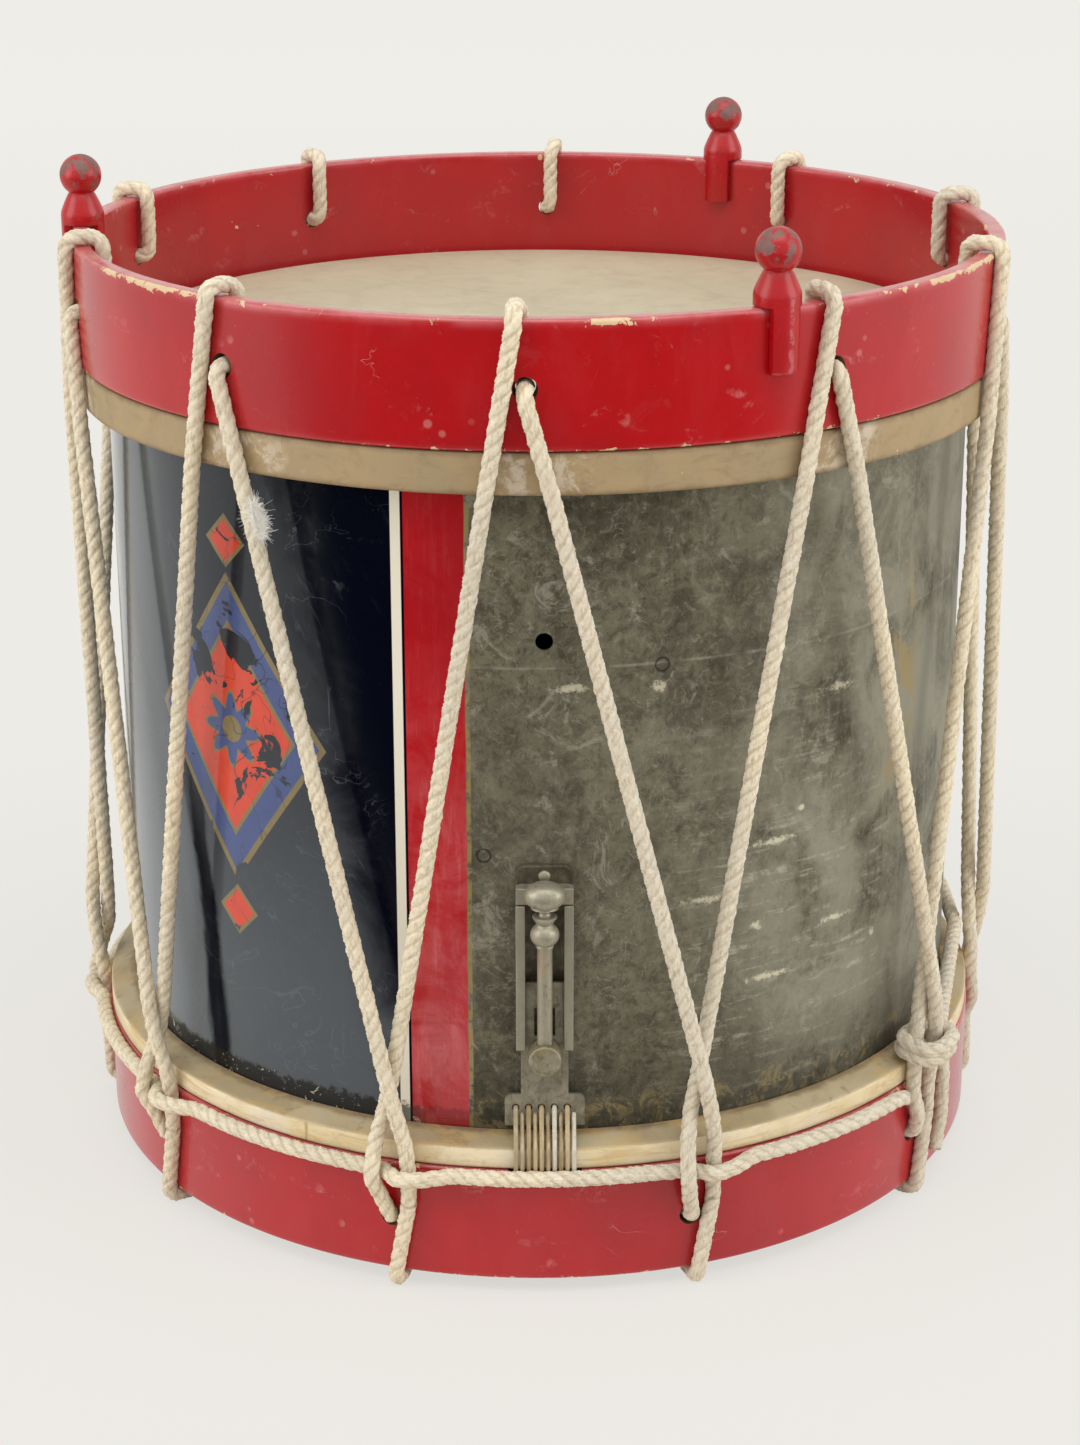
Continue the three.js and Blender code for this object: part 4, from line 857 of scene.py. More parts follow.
def metal_finish(colours, name, bright, dull, streaks=1.0, roughness=0.34, coppery=0.0, recess=0.0):
    """Worn plated metal with tarnish in clouds and streaks. With a recess, it also has painted shade
    where it lies near the shell and a painted highlight on the rail lips.
    """
    finish = Finish(name, roughness=roughness, metallic=0.8)
    clouds = finish.noise(110, 5, 0.65, 0.6)
    fine = finish.noise(1.0, 4, 0.7, 0.3, finish.stretched(700, 700, 120))
    pits = finish.noise(900, 3, 0.6)
    tone = finish.mix(finish.ramp(clouds, 0.36, 0.66), bright, dull)
    tone = finish.mix(finish.ramp(fine, 0.5, 0.72) * 0.5 * streaks, tone, colours.metal_dark)
    grains = finish.noise(330, 5, 0.75, 0.3)
    tone = finish.mix(finish.ramp(grains, 0.46, 0.34) * 0.4, tone, colours.metal_dark)
    tone = finish.mix(finish.ramp(grains, 0.54, 0.66) * 0.4, tone, colours.metal_bright)
    if coppery:
        rust = finish.spots(0.46, 0.62, 240, 4, 0.7, 0.4)
        tone = finish.mix(rust * coppery, tone, colours.metal_copper)
    # With a recess, painted shade darkens what lies near the shell, and a painted highlight lightens
    # the rail lips furthest in front.
    if recess:
        depth = finish.split()[1] * -1
        deep = finish.ramp(depth, SHELL_RADIUS + 3.2 * MM, SHELL_RADIUS + 2.2 * MM)
        deep = deep * (0.6 + 0.4 * finish.spots(0.4, 0.6, 160, 4, 0.7))
        tone = finish.mix(deep * recess, tone, colours.metal_dark)
        lip_highlight = finish.ramp(depth, SHELL_RADIUS + 6.4 * MM, SHELL_RADIUS + 7.3 * MM)
        tone = finish.mix(lip_highlight * 0.7, tone, colours.metal_bright)
    finish.set("Base Color", tone)
    finish.set("Metallic", 0.6 - 0.3 * finish.ramp(clouds, 0.4, 0.7))
    finish.set("Roughness", roughness + 0.26 * clouds)
    finish.bump(clouds * 0.5 + pits * 0.12 + fine * 0.1, 0.15 * MM, 0.6)
    return finish


def gut_finish(colours):
    """Twisted gut: amber and greasy, with some strands gone white."""
    finish = Finish("twisted_gut", roughness=0.4)
    x, _, _ = finish.split()
    number = finish.node("ShaderNodeMath", {"operation": "FLOOR"}, {0: x / GUT_PITCH + GUT_COUNT / 2})
    sway = finish.node("ShaderNodeMath", {"operation": "SINE"}, {0: number * 2.4})
    tone = finish.mix(finish.ramp(sway, 0.1, -0.7), colours.gut, colours.gut_brown)
    tone = finish.mix(finish.ramp(number, 2.2, 0.5) * 0.7, tone, colours.gut_grey)
    white = finish.ramp(sway, 0.82, 0.9).most(finish.ramp(number, 8.2, 8.8))
    tone = finish.mix(white, tone, colours.gut_white)
    turned = finish.noise(1.0, 3, 0.6, 0.3, finish.stretched(900, 900, 260))
    tone = finish.mix(finish.ramp(turned, 0.45, 0.7) * 0.35, tone, colours.gut_brown)
    streaked = finish.streaks(0.5, 0.68, (1100, 300, 70), 4, 0.7, 0.4)
    tone = finish.mix(streaked * 0.55, tone, colours.gut_white)
    finish.set("Base Color", tone)
    finish.set("Roughness", 0.3 + 0.3 * turned)
    finish.bump(turned, 0.2 * MM, 0.7)
    return finish


# Pieces


def rounded_ring(name, inner, outer, low, high, corner, rows):
    """A ring with rounded corners, its faces split into rows."""
    points = []
    quarter = [(math.cos(t), math.sin(t)) for t in (math.radians(a) for a in range(0, 91, 18))]
    for c, s in quarter:
        points.append((outer - corner + corner * c, high - corner + corner * s))
    for c, s in reversed(quarter):
        points.append((inner + corner - corner * c, high - corner + corner * s))
    for i in range(1, rows):
        points.append((inner, high - corner - (high - low - 2 * corner) * i / rows))
    for c, s in quarter:
        points.append((inner + corner - corner * c, low + corner - corner * s))
    for c, s in reversed(quarter):
        points.append((outer - corner + corner * c, low + corner - corner * s))
    for i in range(1, rows):
        points.append((outer, low + corner + (high - low - 2 * corner) * i / rows))
    return spun(name, points, ROUND_STEPS, closed=True)


def hole_tool(azimuth, height, finish):
    """A drill through the hoop's wall. It tapers inwards, where the rope fills the hole."""
    start()
    first = at(HOOP_RADIUS - HOOP_WALL - 1 * MM, azimuth, height)
    last = at(HOOP_RADIUS + 1 * MM, azimuth, height)
    turn = (last - first).to_track_quat("Z", "Y").to_euler()
    bpy.ops.mesh.primitive_cone_add(vertices=32, radius1=3.6 * MM, radius2=HOLE_RADIUS,
                                    depth=(last - first).length, location=(first + last) / 2,
                                    rotation=turn)
    return paint(settle("drill"), finish)


def top_azimuth(k):
    return TOP_PHASE + LACE_TURN * k


def bottom_azimuth(k):
    return BOTTOM_PHASE + LACE_TURN * k


def make_counter_hoops(colours):
    wood = Finish("hole_wood", roughness=0.8)
    wood.set("Base Color", wood.mix(wood.noise(300, 3), colours.hole, colours.wood_dark))
    inner = HOOP_RADIUS - HOOP_WALL
    specs = (("upper_hoop", "upper_counter_hoop", HOOP_LOW.z, HOOP_HIGH.z, TOP_HOLE,
              lambda k: top_azimuth(k) + TOP_HOLE_TURN),
             ("lower_hoop", "lower_counter_hoop", FOOT_LOW.z, FOOT_HIGH.z, BOTTOM_HOLE,
              lambda k: bottom_azimuth(k) + BOTTOM_HOLE_TURN))
    for name, node, low, high, height, azimuth in specs:
        hoop = rounded_ring(name, inner, HOOP_RADIUS, low, high, 1.6 * MM, 16)
        paint(hoop, hoop_finish(colours, name + "_paint", low, high))
        drills = [hole_tool(azimuth(k), height, wood) for k in range(LACES)]
        cut(hoop, joined("drills", *drills))
        if name == "lower_hoop":
            half = GUT_PITCH * (GUT_COUNT - 1) / 2 + 3 * MM
            gate = block("gate", (-half, -0.25, high - 2.5 * MM), (half, 0.25, high + 4 * MM))
            paint(gate, wood)
            cut(hoop, gate)
        smooth(hoop, 35)
        mount(hoop, "drum", "red_paint", node)


def make_shell(colours):
    start()
    depth = SHELL_HIGH.z - SHELL_LOW.z
    bpy.ops.mesh.primitive_cylinder_add(vertices=SHELL_STEPS, radius=SHELL_RADIUS, depth=depth,
                                        end_fill_type="NOTHING",
                                        location=(0, 0, SHELL_LOW.z + depth / 2))
    shell = settle("brass_shell")
    edit(shell)
    for height in np.linspace(SHELL_LOW.z, SHELL_HIGH.z, SHELL_ROWS + 1)[1:-1]:
        bpy.ops.mesh.select_all(action="SELECT")
        bpy.ops.mesh.bisect(plane_co=(0, 0, height), plane_no=(0, 0, 1))
    done()
    thicken(shell, SHELL_WALL)
    paint(shell, shell_finish(colours))
    vent = rod("vent", at(SHELL_RADIUS - 6 * MM, FRONT, VENT_HEIGHT),
               at(SHELL_RADIUS + 6 * MM, FRONT, VENT_HEIGHT), 3.3 * MM, 40)
    dark = Finish("vent_edge", roughness=0.6, metallic=0.5)
    dark.set("Base Color", dark.mix(dark.noise(500), colours.brass_black, colours.brass_dark))
    paint(vent, dark)
    cut(shell, vent)
    smooth(shell, 35)
    mount(shell, "drum", "shell_brass", "shell")


def lapped_line(plane, inward, collar, height, crown):
    """The outer line of a head: across, down its collar, round the flesh hoop and under it."""
    level = lambda distance: plane + inward * distance * MM
    outer = FLESH_RADIUS
    bend = 1.3 * MM
    across = (0, 30, 60, 90, 115, 135, 150, 160, 167, 172, 174.6)
    line = [(radius * MM, level(0)) for radius in across]
    line += [(SHELL_RADIUS - 1.2 * MM, level(0.1)), (SHELL_RADIUS, level(0.55)),
             (SHELL_RADIUS + 1.6 * MM, level(0.5 * collar + 0.3)),
             (SHELL_RADIUS + 3.2 * MM, level(collar - 0.25)), (SHELL_RADIUS + 4.6 * MM, level(collar))]
    for t in (0, 22, 45, 67, 90):
        c, s = math.sin(math.radians(t)), 1 - math.cos(math.radians(t))
        line.append((outer - bend + bend * c, level(collar) + inward * bend * s))
    far = collar + height
    for i in range(1, 5):
        line.append((outer, level(collar + 1.3 + (height - 2.6) * i / 5)))
    for t in (0, 30, 60, 90):
        c, s = math.cos(math.radians(t)), math.sin(math.radians(t))
        line.append((outer - bend + bend * c, level(far - 1.3) + inward * bend * s))
    for share in (1 / 3, 2 / 3, 1):
        radius = outer - bend + (SHELL_RADIUS + 0.7 * MM - outer + bend) * share
        line.append((radius, level(far + crown * share)))
    return line


def make_heads(colours):
    """Both skins, each from its middle out over the shell's edge and round its flesh hoop."""
    batter_skin = skin_finish("batter_calfskin", colours.skin, colours.skin_dark, colours.skin_stain)
    batter_wrap = wrap_finish(colours, "upper_lapped_skin", colours.wrap_tan, colours.wrap_grey,
                              colours.wrap_brown, HOOP_LOW.z - 16.3 * MM, HOOP_LOW.z - 0.3 * MM)
    snare_skin = skin_finish("snare_calfskin", colours.snare_skin, colours.snare_skin_dark,
                             colours.wrap_tan)
    # The lower lap's soil colour is the tan, which also gives its painted shade along the edges.
    snare_wrap = wrap_finish(colours, "lower_lapped_skin", colours.wrap_cream, colours.wrap_pale,
                             colours.wrap_tan, FOOT_HIGH.z + 0.3 * MM, FOOT_HIGH.z + 9.5 * MM,
                             FOOT_HIGH.z + 8.9 * MM)
    specs = (("calfskin_batter", "batter_head", "batter_skin", batter_skin, batter_wrap,
              (BATTER_TOP, -1, BATTER_COLLAR, BATTER_LAP, 0.0)),
             ("calfskin_snare", "snare_head", "snare_skin", snare_skin, snare_wrap,
              (SNARE_FOOT, 1, SNARE_COLLAR, SNARE_LAP, 2.6)))
    for name, node, slot, skin, wrap, line in specs:
        head = spun(name, lapped_line(*line), ROUND_STEPS)
        inward = line[1]
        face_along(head, -inward)
        wobble_wrap(head)
        thicken(head, SKIN)
        paint(head, skin)
        head.data.materials.append(wrap.material)
        for face in head.data.polygons:
            if math.hypot(face.center.x, face.center.y) > SHELL_RADIUS + 2 * MM:
                face.material_index = 1
        smooth(head, 50)
        mount(head, "drum", slot, node)


def face_along(head, way):
    """Turns a head's faces so that its playing face looks up, or down."""
    near = min(head.data.polygons, key=lambda face: math.hypot(face.center.x, face.center.y))
    if near.normal.z * way < 0:
        edit(head)
        bpy.ops.mesh.flip_normals()
        done()


def wobble_wrap(head):
    """Lets the lapped skin follow the hoop unevenly, as wet skin dries."""
    for vert in head.data.vertices:
        radius = math.hypot(vert.co.x, vert.co.y)
        if radius < SHELL_RADIUS + 5 * MM:
            continue
        turn = math.atan2(vert.co.y, vert.co.x)
        wave = math.sin(7 * turn + 60 * vert.co.z) * 0.5
        wave += math.sin(17 * turn + 1.3) * 0.3 + math.sin(41 * turn) * 0.2
        shift = 0.16 * MM * (wave - 1)
        vert.co.x *= 1 + shift / radius
        vert.co.y *= 1 + shift / radius


def make_pegs(colours):
    """A turned peg with a slot for the hoop's wall, copied to its three places."""
    seat = HOOP_HIGH.z + 0.3 * MM
    turned = ((0.0, -24.2), (7.6, -24.2), (8.5, -23.7), (8.85, -22.8), (8.85, -9.0), (8.85, 3.4),
              (8.75, 4.5), (8.45, 5.6), (7.85, 7.1), (7.1, 8.8), (6.35, 10.4), (5.75, 11.6),
              (5.3, 12.3), (5.05, 12.6))
    line = [(radius * MM, seat + height * MM) for radius, height in turned]
    ball, size = seat + 19.5 * MM, 8.5 * MM
    for i in range(16):
        turn = math.radians(-53 + 143 * i / 16)
        line.append((size * math.cos(turn), ball + size * math.sin(turn)))
    line.append((0.0, ball + size))
    centre = HOOP_RADIUS - HOOP_WALL / 2
    peg = spun("hoop_peg", line, 48, (centre, 0))
    slot = HOOP_WALL + 0.7 * MM
    back, ahead = centre - slot / 2 - 0.4 * MM, centre + slot / 2
    cut(peg,
        block("slot", (back, -0.02, seat - 0.03), (ahead, 0.02, seat)),
        block("inner_trim", (centre - 0.02, -0.02, seat - 0.03), (back + MM, 0.02, seat - 19 * MM)),
        block("left_trim", (centre - 0.02, -0.02, seat - 0.03), (centre + 0.02, -5.5 * MM, seat)),
        block("right_trim", (centre - 0.02, 5.5 * MM, seat - 0.03), (centre + 0.02, 0.02, seat)))
    soften(peg, 0.5 * MM, 3, 62)
    smooth(peg, 44)
    paint(peg, peg_finish(colours))
    for i, azimuth in enumerate(PEG_AZIMUTHS):
        own = peg if i == 2 else copied(peg, f"turned_peg_{i + 1}")
        own.name = f"turned_peg_{i + 1}"
        own.data.transform(Matrix.Rotation(math.radians(azimuth), 4, "Z"))
        mount(own, "drum", "red_paint", f"hoop_peg_{i + 1}")


# Rope

ROPE_RADIUS = 3.25 * MM
ROPE_LAY = 17.0 * MM
ROPE_STEP = 1.5 * MM
ROPE_SIDES = 24
ROPE_LUMPS = 0.03
ON_HOOP = HOOP_RADIUS + ROPE_RADIUS - 0.25 * MM
OVER_ROPE = ON_HOOP + 6.5 * MM
IN_HOOP = HOOP_RADIUS - HOOP_WALL - ROPE_RADIUS - 1.0 * MM
BACK_CROSSING = FLESH_RADIUS + ROPE_RADIUS / 2
CROSSING_GAP = 6.8 * MM
FRONT_CROSSING = BACK_CROSSING + CROSSING_GAP
CORNER = ROPE_RADIUS + 0.8 * MM
HOLE_BEND = ROPE_RADIUS + 0.3 * MM
CROSSING = FOOT_LOW.z + 86.0 * MM
BELOW_CROSSING = CROSSING - 14.6 * MM
GIRTH = FOOT_LOW.z + 44.6 * MM
SPREAD = 1.9
FLESH_BASE = HOOP_LOW.z - 0.3 * MM - 16 * MM
HITCH = 2
UNDER_TURN = 0.2


def bend(radius, height, size, start_turn, end_turn, azimuth_start, azimuth_end, steps=8):
    """A bend of the rope in an upright plane through the axis, in degrees up from outwards."""
    points = []
    for i in range(steps + 1):
        turn = math.radians(start_turn + (end_turn - start_turn) * i / steps)
        azimuth = azimuth_start + (azimuth_end - azimuth_start) * i / steps
        points.append(at(radius + size * math.cos(turn), azimuth, height + size * math.sin(turn)))
    return points


def lace_start(low):
    """Where a lace has just left its hole in the lower hoop."""
    return at(ON_HOOP + ROPE_RADIUS / 2, low + (BOTTOM_HOLE_TURN - SPREAD) / 2, BOTTOM_HOLE + 9.75 * MM)


def lace_route(k):
    """From the lower hoop up behind a crossing, over the upper hoop and down across the next one."""
    low, high, after = bottom_azimuth(k), top_azimuth(k), bottom_azimuth(k + 1)
    rise = lambda height: low + (high - low) * (height - CROSSING) / (HOOP_HIGH.z - CROSSING)
    hole_turn = high + TOP_HOLE_TURN
    fall = lambda height: hole_turn + (after - hole_turn) * (TOP_HOLE - height) / (TOP_HOLE - CROSSING)
    crest = HOOP_HIGH.z + 0.3 * MM + ROPE_RADIUS - CORNER
    halfway = high + TOP_HOLE_TURN / 2
    on_girth = ON_HOOP if k in (HITCH, HITCH + 1) else OVER_ROPE + 0.3 * MM
    return [
        lace_start(low),
        at(on_girth, low - SPREAD, GIRTH),
        at((on_girth + ON_HOOP) / 2, low - 1.75, GIRTH + 13 * MM),
        at(BACK_CROSSING + ROPE_RADIUS / 4, low - SPREAD / 2, BELOW_CROSSING),
        at(BACK_CROSSING, low, CROSSING),
        at(ON_HOOP, rise(FLESH_BASE), FLESH_BASE),
        *bend(ON_HOOP - CORNER, crest, CORNER, 0, 90, high, high),
        *bend(IN_HOOP + CORNER, crest, CORNER, 90, 180, high, halfway),
        *bend(IN_HOOP + HOLE_BEND, TOP_HOLE + HOLE_BEND, HOLE_BEND, 180, 270, halfway, hole_turn),
        *bend(ON_HOOP - HOLE_BEND, TOP_HOLE - HOLE_BEND, HOLE_BEND, 90, 0, hole_turn, hole_turn),
        at(ON_HOOP, fall(FLESH_BASE), FLESH_BASE),
        at(FRONT_CROSSING, after, CROSSING),
        at(FRONT_CROSSING - ROPE_RADIUS / 4, after + SPREAD / 2, BELOW_CROSSING),
        at(ON_HOOP + ROPE_RADIUS / 2, after + 1.75, GIRTH + 13 * MM),
        at(ON_HOOP, after + SPREAD, GIRTH),
    ]


def under_route(k):
    """Under the lower hoop, from the right strand to the hole behind the left one."""
    low = bottom_azimuth(k)
    hole_turn = low + BOTTOM_HOLE_TURN
    base = FOOT_LOW.z - 0.3 * MM - ROPE_RADIUS + CORNER
    under = low + UNDER_TURN
    halfway = low + (BOTTOM_HOLE_TURN + UNDER_TURN) / 2
    return [
        at(ON_HOOP, low + SPREAD, GIRTH - 13 * MM),
        *bend(ON_HOOP - CORNER, base, CORNER, 0, -90, under, under),
        *bend(IN_HOOP + CORNER, base, CORNER, -90, -180, under, halfway),
        *bend(IN_HOOP + HOLE_BEND, BOTTOM_HOLE - HOLE_BEND, HOLE_BEND, 180, 90, halfway, hole_turn),
        *bend(ON_HOOP - HOLE_BEND, BOTTOM_HOLE + HOLE_BEND, HOLE_BEND, -90, -45,
              hole_turn, hole_turn, 4),
    ]


def hitch_route(home):
    """From the hanging tail up behind both strands of one crossing and twice round them."""
    base = FOOT_LOW.z + 59.6 * MM
    tail = ON_HOOP + ROPE_RADIUS / 2
    aside = home + 5.2
    points = [at(tail - 1.0 * MM, home + 4.4, FOOT_LOW.z + 9.5 * MM),
              at(tail, aside, FOOT_LOW.z + 24 * MM), at(tail, aside, GIRTH),
              at(ON_HOOP, aside, base + 3.4 * MM)]
    squared = lambda value: math.copysign(abs(value) ** 0.62, value)
    steps = 48
    for i in range(3, steps + 1):
        turn = 4 * math.pi * i / steps
        behind = squared(math.sin(turn))
        share = i / steps
        height = base + (0.9 + 9.0 * share + 1.4 * behind) * MM
        radius = (194.2 + 1.6 * share - 8.6 * behind) * MM
        points.append(at(radius, home + 2.85 * squared(math.cos(turn)), height))
    return points


def girth_route():
    """The hitch, the slant up behind the next crossing, and the run round the lower hoop."""
    home, after = bottom_azimuth(HITCH), bottom_azimuth(HITCH + 1)
    slant = FOOT_LOW.z + 70.8 * MM
    behind = BACK_CROSSING + ROPE_RADIUS / 4 - CROSSING_GAP
    free = ON_HOOP + 0.3 * MM
    points = [*hitch_route(home), at(behind, after - SPREAD, slant), at(behind, after + SPREAD, slant),
              at(FLESH_RADIUS, after + 12, slant),
              at(free, after + 18.5, (slant + GIRTH) / 2 + ROPE_RADIUS)]
    points += [at(free, after + 25 + 2.5 * i, GIRTH) for i in range(4)]
    level = GIRTH + 0.8 * MM
    for k in range(2, LACES):
        here = home + LACE_TURN * k
        points += [at(ON_HOOP + 0.15 * MM, here - SPREAD, level),
                   at(ON_HOOP + 0.15 * MM, here - 0.9, level),
                   at(OVER_ROPE - 0.3 * MM, here + 0.9, level),
                   at(OVER_ROPE, here + SPREAD, level),
                   at(OVER_ROPE - ROPE_RADIUS / 2, here + 2 * SPREAD, level)]
        for i in range(12):
            points.append(at(free, here + LACE_TURN * (0.2 + 0.64 * i / 11), GIRTH + 1.6 * MM))
    points.append(at(free, home + 360 - 2 * SPREAD, GIRTH))
    return points


def way_along(line):
    """How far each point of a line lies along it."""
    return np.concatenate([[0], np.cumsum(np.linalg.norm(np.diff(line, axis=0), axis=1))])


def stepped(line, count):
    """The same line in a number of even steps."""
    travelled = way_along(line)
    marks = np.linspace(0, travelled[-1], count + 1)
    return np.stack([np.interp(marks, travelled, line[:, i]) for i in range(3)], axis=1)


def eased(points, sag):
    """The route at even steps, with its corners rounded off."""
    line = np.array([tuple(p) for p in points])
    fine = 0.3 * MM
    dense = stepped(line, int(way_along(line)[-1] / fine))
    reach = int(3 * sag / fine)
    weights = np.exp(-0.5 * (np.arange(-reach, reach + 1) * fine / sag) ** 2)
    weights /= weights.sum()
    head = 2 * dense[0] - dense[reach:0:-1]
    tail = 2 * dense[-1] - dense[-2:-reach - 2:-1]
    padded = np.concatenate([head, dense, tail])
    rounded = np.stack([np.convolve(padded[:, i], weights, "valid") for i in range(3)], axis=1)
    return stepped(rounded, max(8, int(round(way_along(rounded)[-1] / ROPE_STEP))))


def strand_section():
    """How far each point of the rope's section stands out, for three strands laid together."""
    strand, centre = 2.64, 0.61
    reach = []
    for i in range(ROPE_SIDES):
        turn = 2 * math.pi * i / ROPE_SIDES
        off = (turn + math.pi / 3) % (2 * math.pi / 3) - math.pi / 3
        far = centre * math.cos(off) + math.sqrt(strand ** 2 - (centre * math.sin(off)) ** 2)
        reach.append(far * MM)
    return np.array(reach)


def carried_sides(line):
    """Two side directions at each point, carried along without twist."""
    ahead = np.gradient(line, axis=0)
    ahead /= np.linalg.norm(ahead, axis=1)[:, None]
    side = np.zeros_like(line)
    first = np.cross(ahead[0], (0.3, 0.2, 1.0))
    side[0] = first / np.linalg.norm(first)
    for i in range(1, len(line)):
        moved = side[i - 1] - ahead[i] * (side[i - 1] @ ahead[i])
        side[i] = moved / np.linalg.norm(moved)
    return side, np.cross(ahead, side)


def framed(points, sag=1.3 * MM):
    """The eased route, its side directions and the way travelled, each at every point."""
    line = eased(points, sag)
    return (line, *carried_sides(line), way_along(line))


def laid_rope(name, course, part, reach, lay, fluff=0.0):
    """A twisted tube along part of a course. Its UV map holds the way along it and round it."""
    line, side, other, travelled = (values[part] for values in course)
    sides = len(reach)
    count = len(line)
    around = 2 * math.pi * np.arange(sides) / sides
    turn = around[None, :] + (2 * math.pi * travelled / lay)[:, None]
    lumps = 1 + np.random.default_rng(count).normal(0, fluff, (count, sides))
    verts = (line[:, None, :] + (reach[None, :] * lumps)[:, :, None] * (
        np.cos(turn)[:, :, None] * side[:, None, :] + np.sin(turn)[:, :, None] * other[:, None, :]))
    verts[..., 2] = np.maximum(verts[..., 2], 0.0)
    faces = []
    for i in range(count - 1):
        for j in range(sides):
            n = (j + 1) % sides
            faces.append((i * sides + j, i * sides + n, (i + 1) * sides + n, (i + 1) * sides + j))
    faces.append(tuple(range(sides - 1, -1, -1)))
    faces.append(tuple((count - 1) * sides + j for j in range(sides)))
    mesh = bpy.data.meshes.new(name)
    mesh.from_pydata(verts.reshape(-1, 3).tolist(), [], faces)
    layer = mesh.uv_layers.new(name="lay")
    along = np.repeat(travelled, sides)
    values = np.zeros((len(mesh.loops), 2), np.float32)
    index = np.zeros(len(mesh.loops), np.int32)
    mesh.loops.foreach_get("vertex_index", index)
    values[:, 0] = along[index]
    values[:, 1] = (index % sides) / sides
    quads = (count - 1) * sides
    seam = np.zeros(len(mesh.loops), bool)
    seam[:quads * 4] = np.tile(np.repeat([j == sides - 1 for j in range(sides)], 4), count - 1)
    corner = np.zeros(len(mesh.loops), np.int32)
    corner[:quads * 4] = np.tile([0, 1, 2, 3], quads)
    values[:, 1] += seam & ((corner == 1) | (corner == 2))
    layer.data.foreach_set("uv", values.ravel())
    mesh.polygons.foreach_set("use_smooth", [True] * len(mesh.polygons))
    mesh.update()
    piece = bpy.data.objects.new(name, mesh)
    bpy.context.scene.collection.objects.link(piece)
    return piece


def make_rope(colours):
    """Ten runs, each a loop under the hoop with the lace after it, and the girth rope."""
    cotton = rope_finish(colours)
    reach = strand_section()
    route, joints = [], []
    for k in range(LACES):
        joints.append(len(route))
        route += under_route(k) + lace_route(k)
    route.append(under_route(LACES)[0])
    course = framed(route)
    line = course[0]
    cuts = [int(np.argmin(np.linalg.norm(line - np.array(route[j]), axis=1))) for j in joints]
    cuts = [0, *cuts[1:], len(line) - 1]
    for k in range(LACES):
        part = slice(cuts[k], cuts[k + 1] + 1)
        run = laid_rope(f"rope_run_{k + 1}", course, part, reach, ROPE_LAY, ROPE_LUMPS)
        paint(run, cotton)
        mount(run, "drum", "rope", f"rope_lace_{k + 1}", f"rope_under_loop_{k + 1}")
    girth = laid_rope("rope_girth", framed(girth_route()), slice(None), reach, ROPE_LAY, ROPE_LUMPS)
    paint(girth, cotton)
    mount(girth, "drum", "rope", "girth_rope")


def make_tuft(colours):
    """A patch of broken yarns that curls out of the right side of one lace."""
    rng = np.random.default_rng(7)
    azimuth, height = -123.8, 309.5 * MM
    fibres, joints = 3200, 4
    root = at(ON_HOOP + 0.4 * MM, azimuth, height)
    out = Vector(at(1, azimuth, 0))
    sideways = Vector((-out.y, out.x, 0))
    verts, faces = [], []
    for _ in range(fibres):
        drop = max(-5.5, min(5.5, rng.normal(0, 3.2))) * MM
        spot = (root + sideways * (3.4 * MM - drop * 0.28) + out * rng.uniform(-0.6, 1.6) * MM
                + Vector((0, 0, drop)))
        heading = (sideways * rng.uniform(0.4, 1.3) + out * rng.uniform(0.1, 0.9)
                   + Vector((0, 0, rng.uniform(-0.9, 0.9)))).normalized()
        curl = Vector(rng.normal(0, 1.2, 3))
        curl = (curl - heading * curl.dot(heading)) * rng.uniform(0.5, 1.6)
        length = rng.uniform(0.8, 2.5) * MM
        across = heading.cross(Vector((0.1, 0.2, 1))).normalized()
        upward = heading.cross(across)
        first = len(verts)
        for i in range(joints + 1):
            share = i / joints
            along = spot + (heading * share + curl * share * share * 0.7) * length
            size = 0.11 * MM * (1 - 0.6 * share)
            for t in (0, 120, 240):
                c, s = math.cos(math.radians(t)), math.sin(math.radians(t))
                verts.append(along + (across * c + upward * s) * size)
        for i in range(joints):
            for j in range(3):
                a, b = first + 3 * i + j, first + 3 * i + (j + 1) % 3
                faces.append((a, b, b + 3, a + 3))
        tip = first + 3 * joints
        faces += [(first + 2, first + 1, first), (tip, tip + 1, tip + 2)]
    mesh = bpy.data.meshes.new("frayed_tuft")
    mesh.from_pydata([tuple(v) for v in verts], [], faces)
    mesh.update()
    tuft = bpy.data.objects.new("frayed_tuft", mesh)
    bpy.context.scene.collection.objects.link(tuft)
    edit(tuft)
    bpy.ops.mesh.normals_make_consistent(inside=False)
    done()
    smooth(tuft, 80)
    paint(tuft, tuft_finish(colours))
    mount(tuft, "drum", "rope")


# Strainer

# Depths and heights are in millimetres, in front of the shell and over its lower edge.
BASE = SHELL_LOW.z
SCREW_DEPTH = 9.4
RAIL_LOW, RAIL_HIGH = 51.5, 111.6
RAIL_EDGE = 11.0
LUG_LOW, LUG_HIGH = 112.0, 118.6
SLIDE_BACK, SLIDE_FRONT = 3.4, 5.0
HOOK_LOW, HOOK_HIGH = 18.3, 31.6
GUT_HOLES = 26.1
GUT_HOLE_RADIUS = 1.45 * MM
BOSS_HEIGHT = 49.8
BUTT_SCREWS = 39.5
SCREW_RADIUS = 1.4 * MM


def face_y(depth):
    """A depth in millimetres in front of the shell, as a place on the Y axis."""
    return -(SHELL_RADIUS + depth * MM)


def up(height):
    """A height in millimetres over the shell's lower edge."""
    return BASE + height * MM


def gut_x(i):
    """How far a snare strand lies to the right of the middle."""
    return (i - (GUT_COUNT - 1) / 2) * GUT_PITCH


def pin(name, x, height, back, front, radius, sides=32, facing=1):
    """A round bar square to the shell, in front or, facing -1, at the back."""
    ends = [(x, facing * face_y(depth), up(height)) for depth in (back, front)]
    return rod(name, *ends, radius, sides)


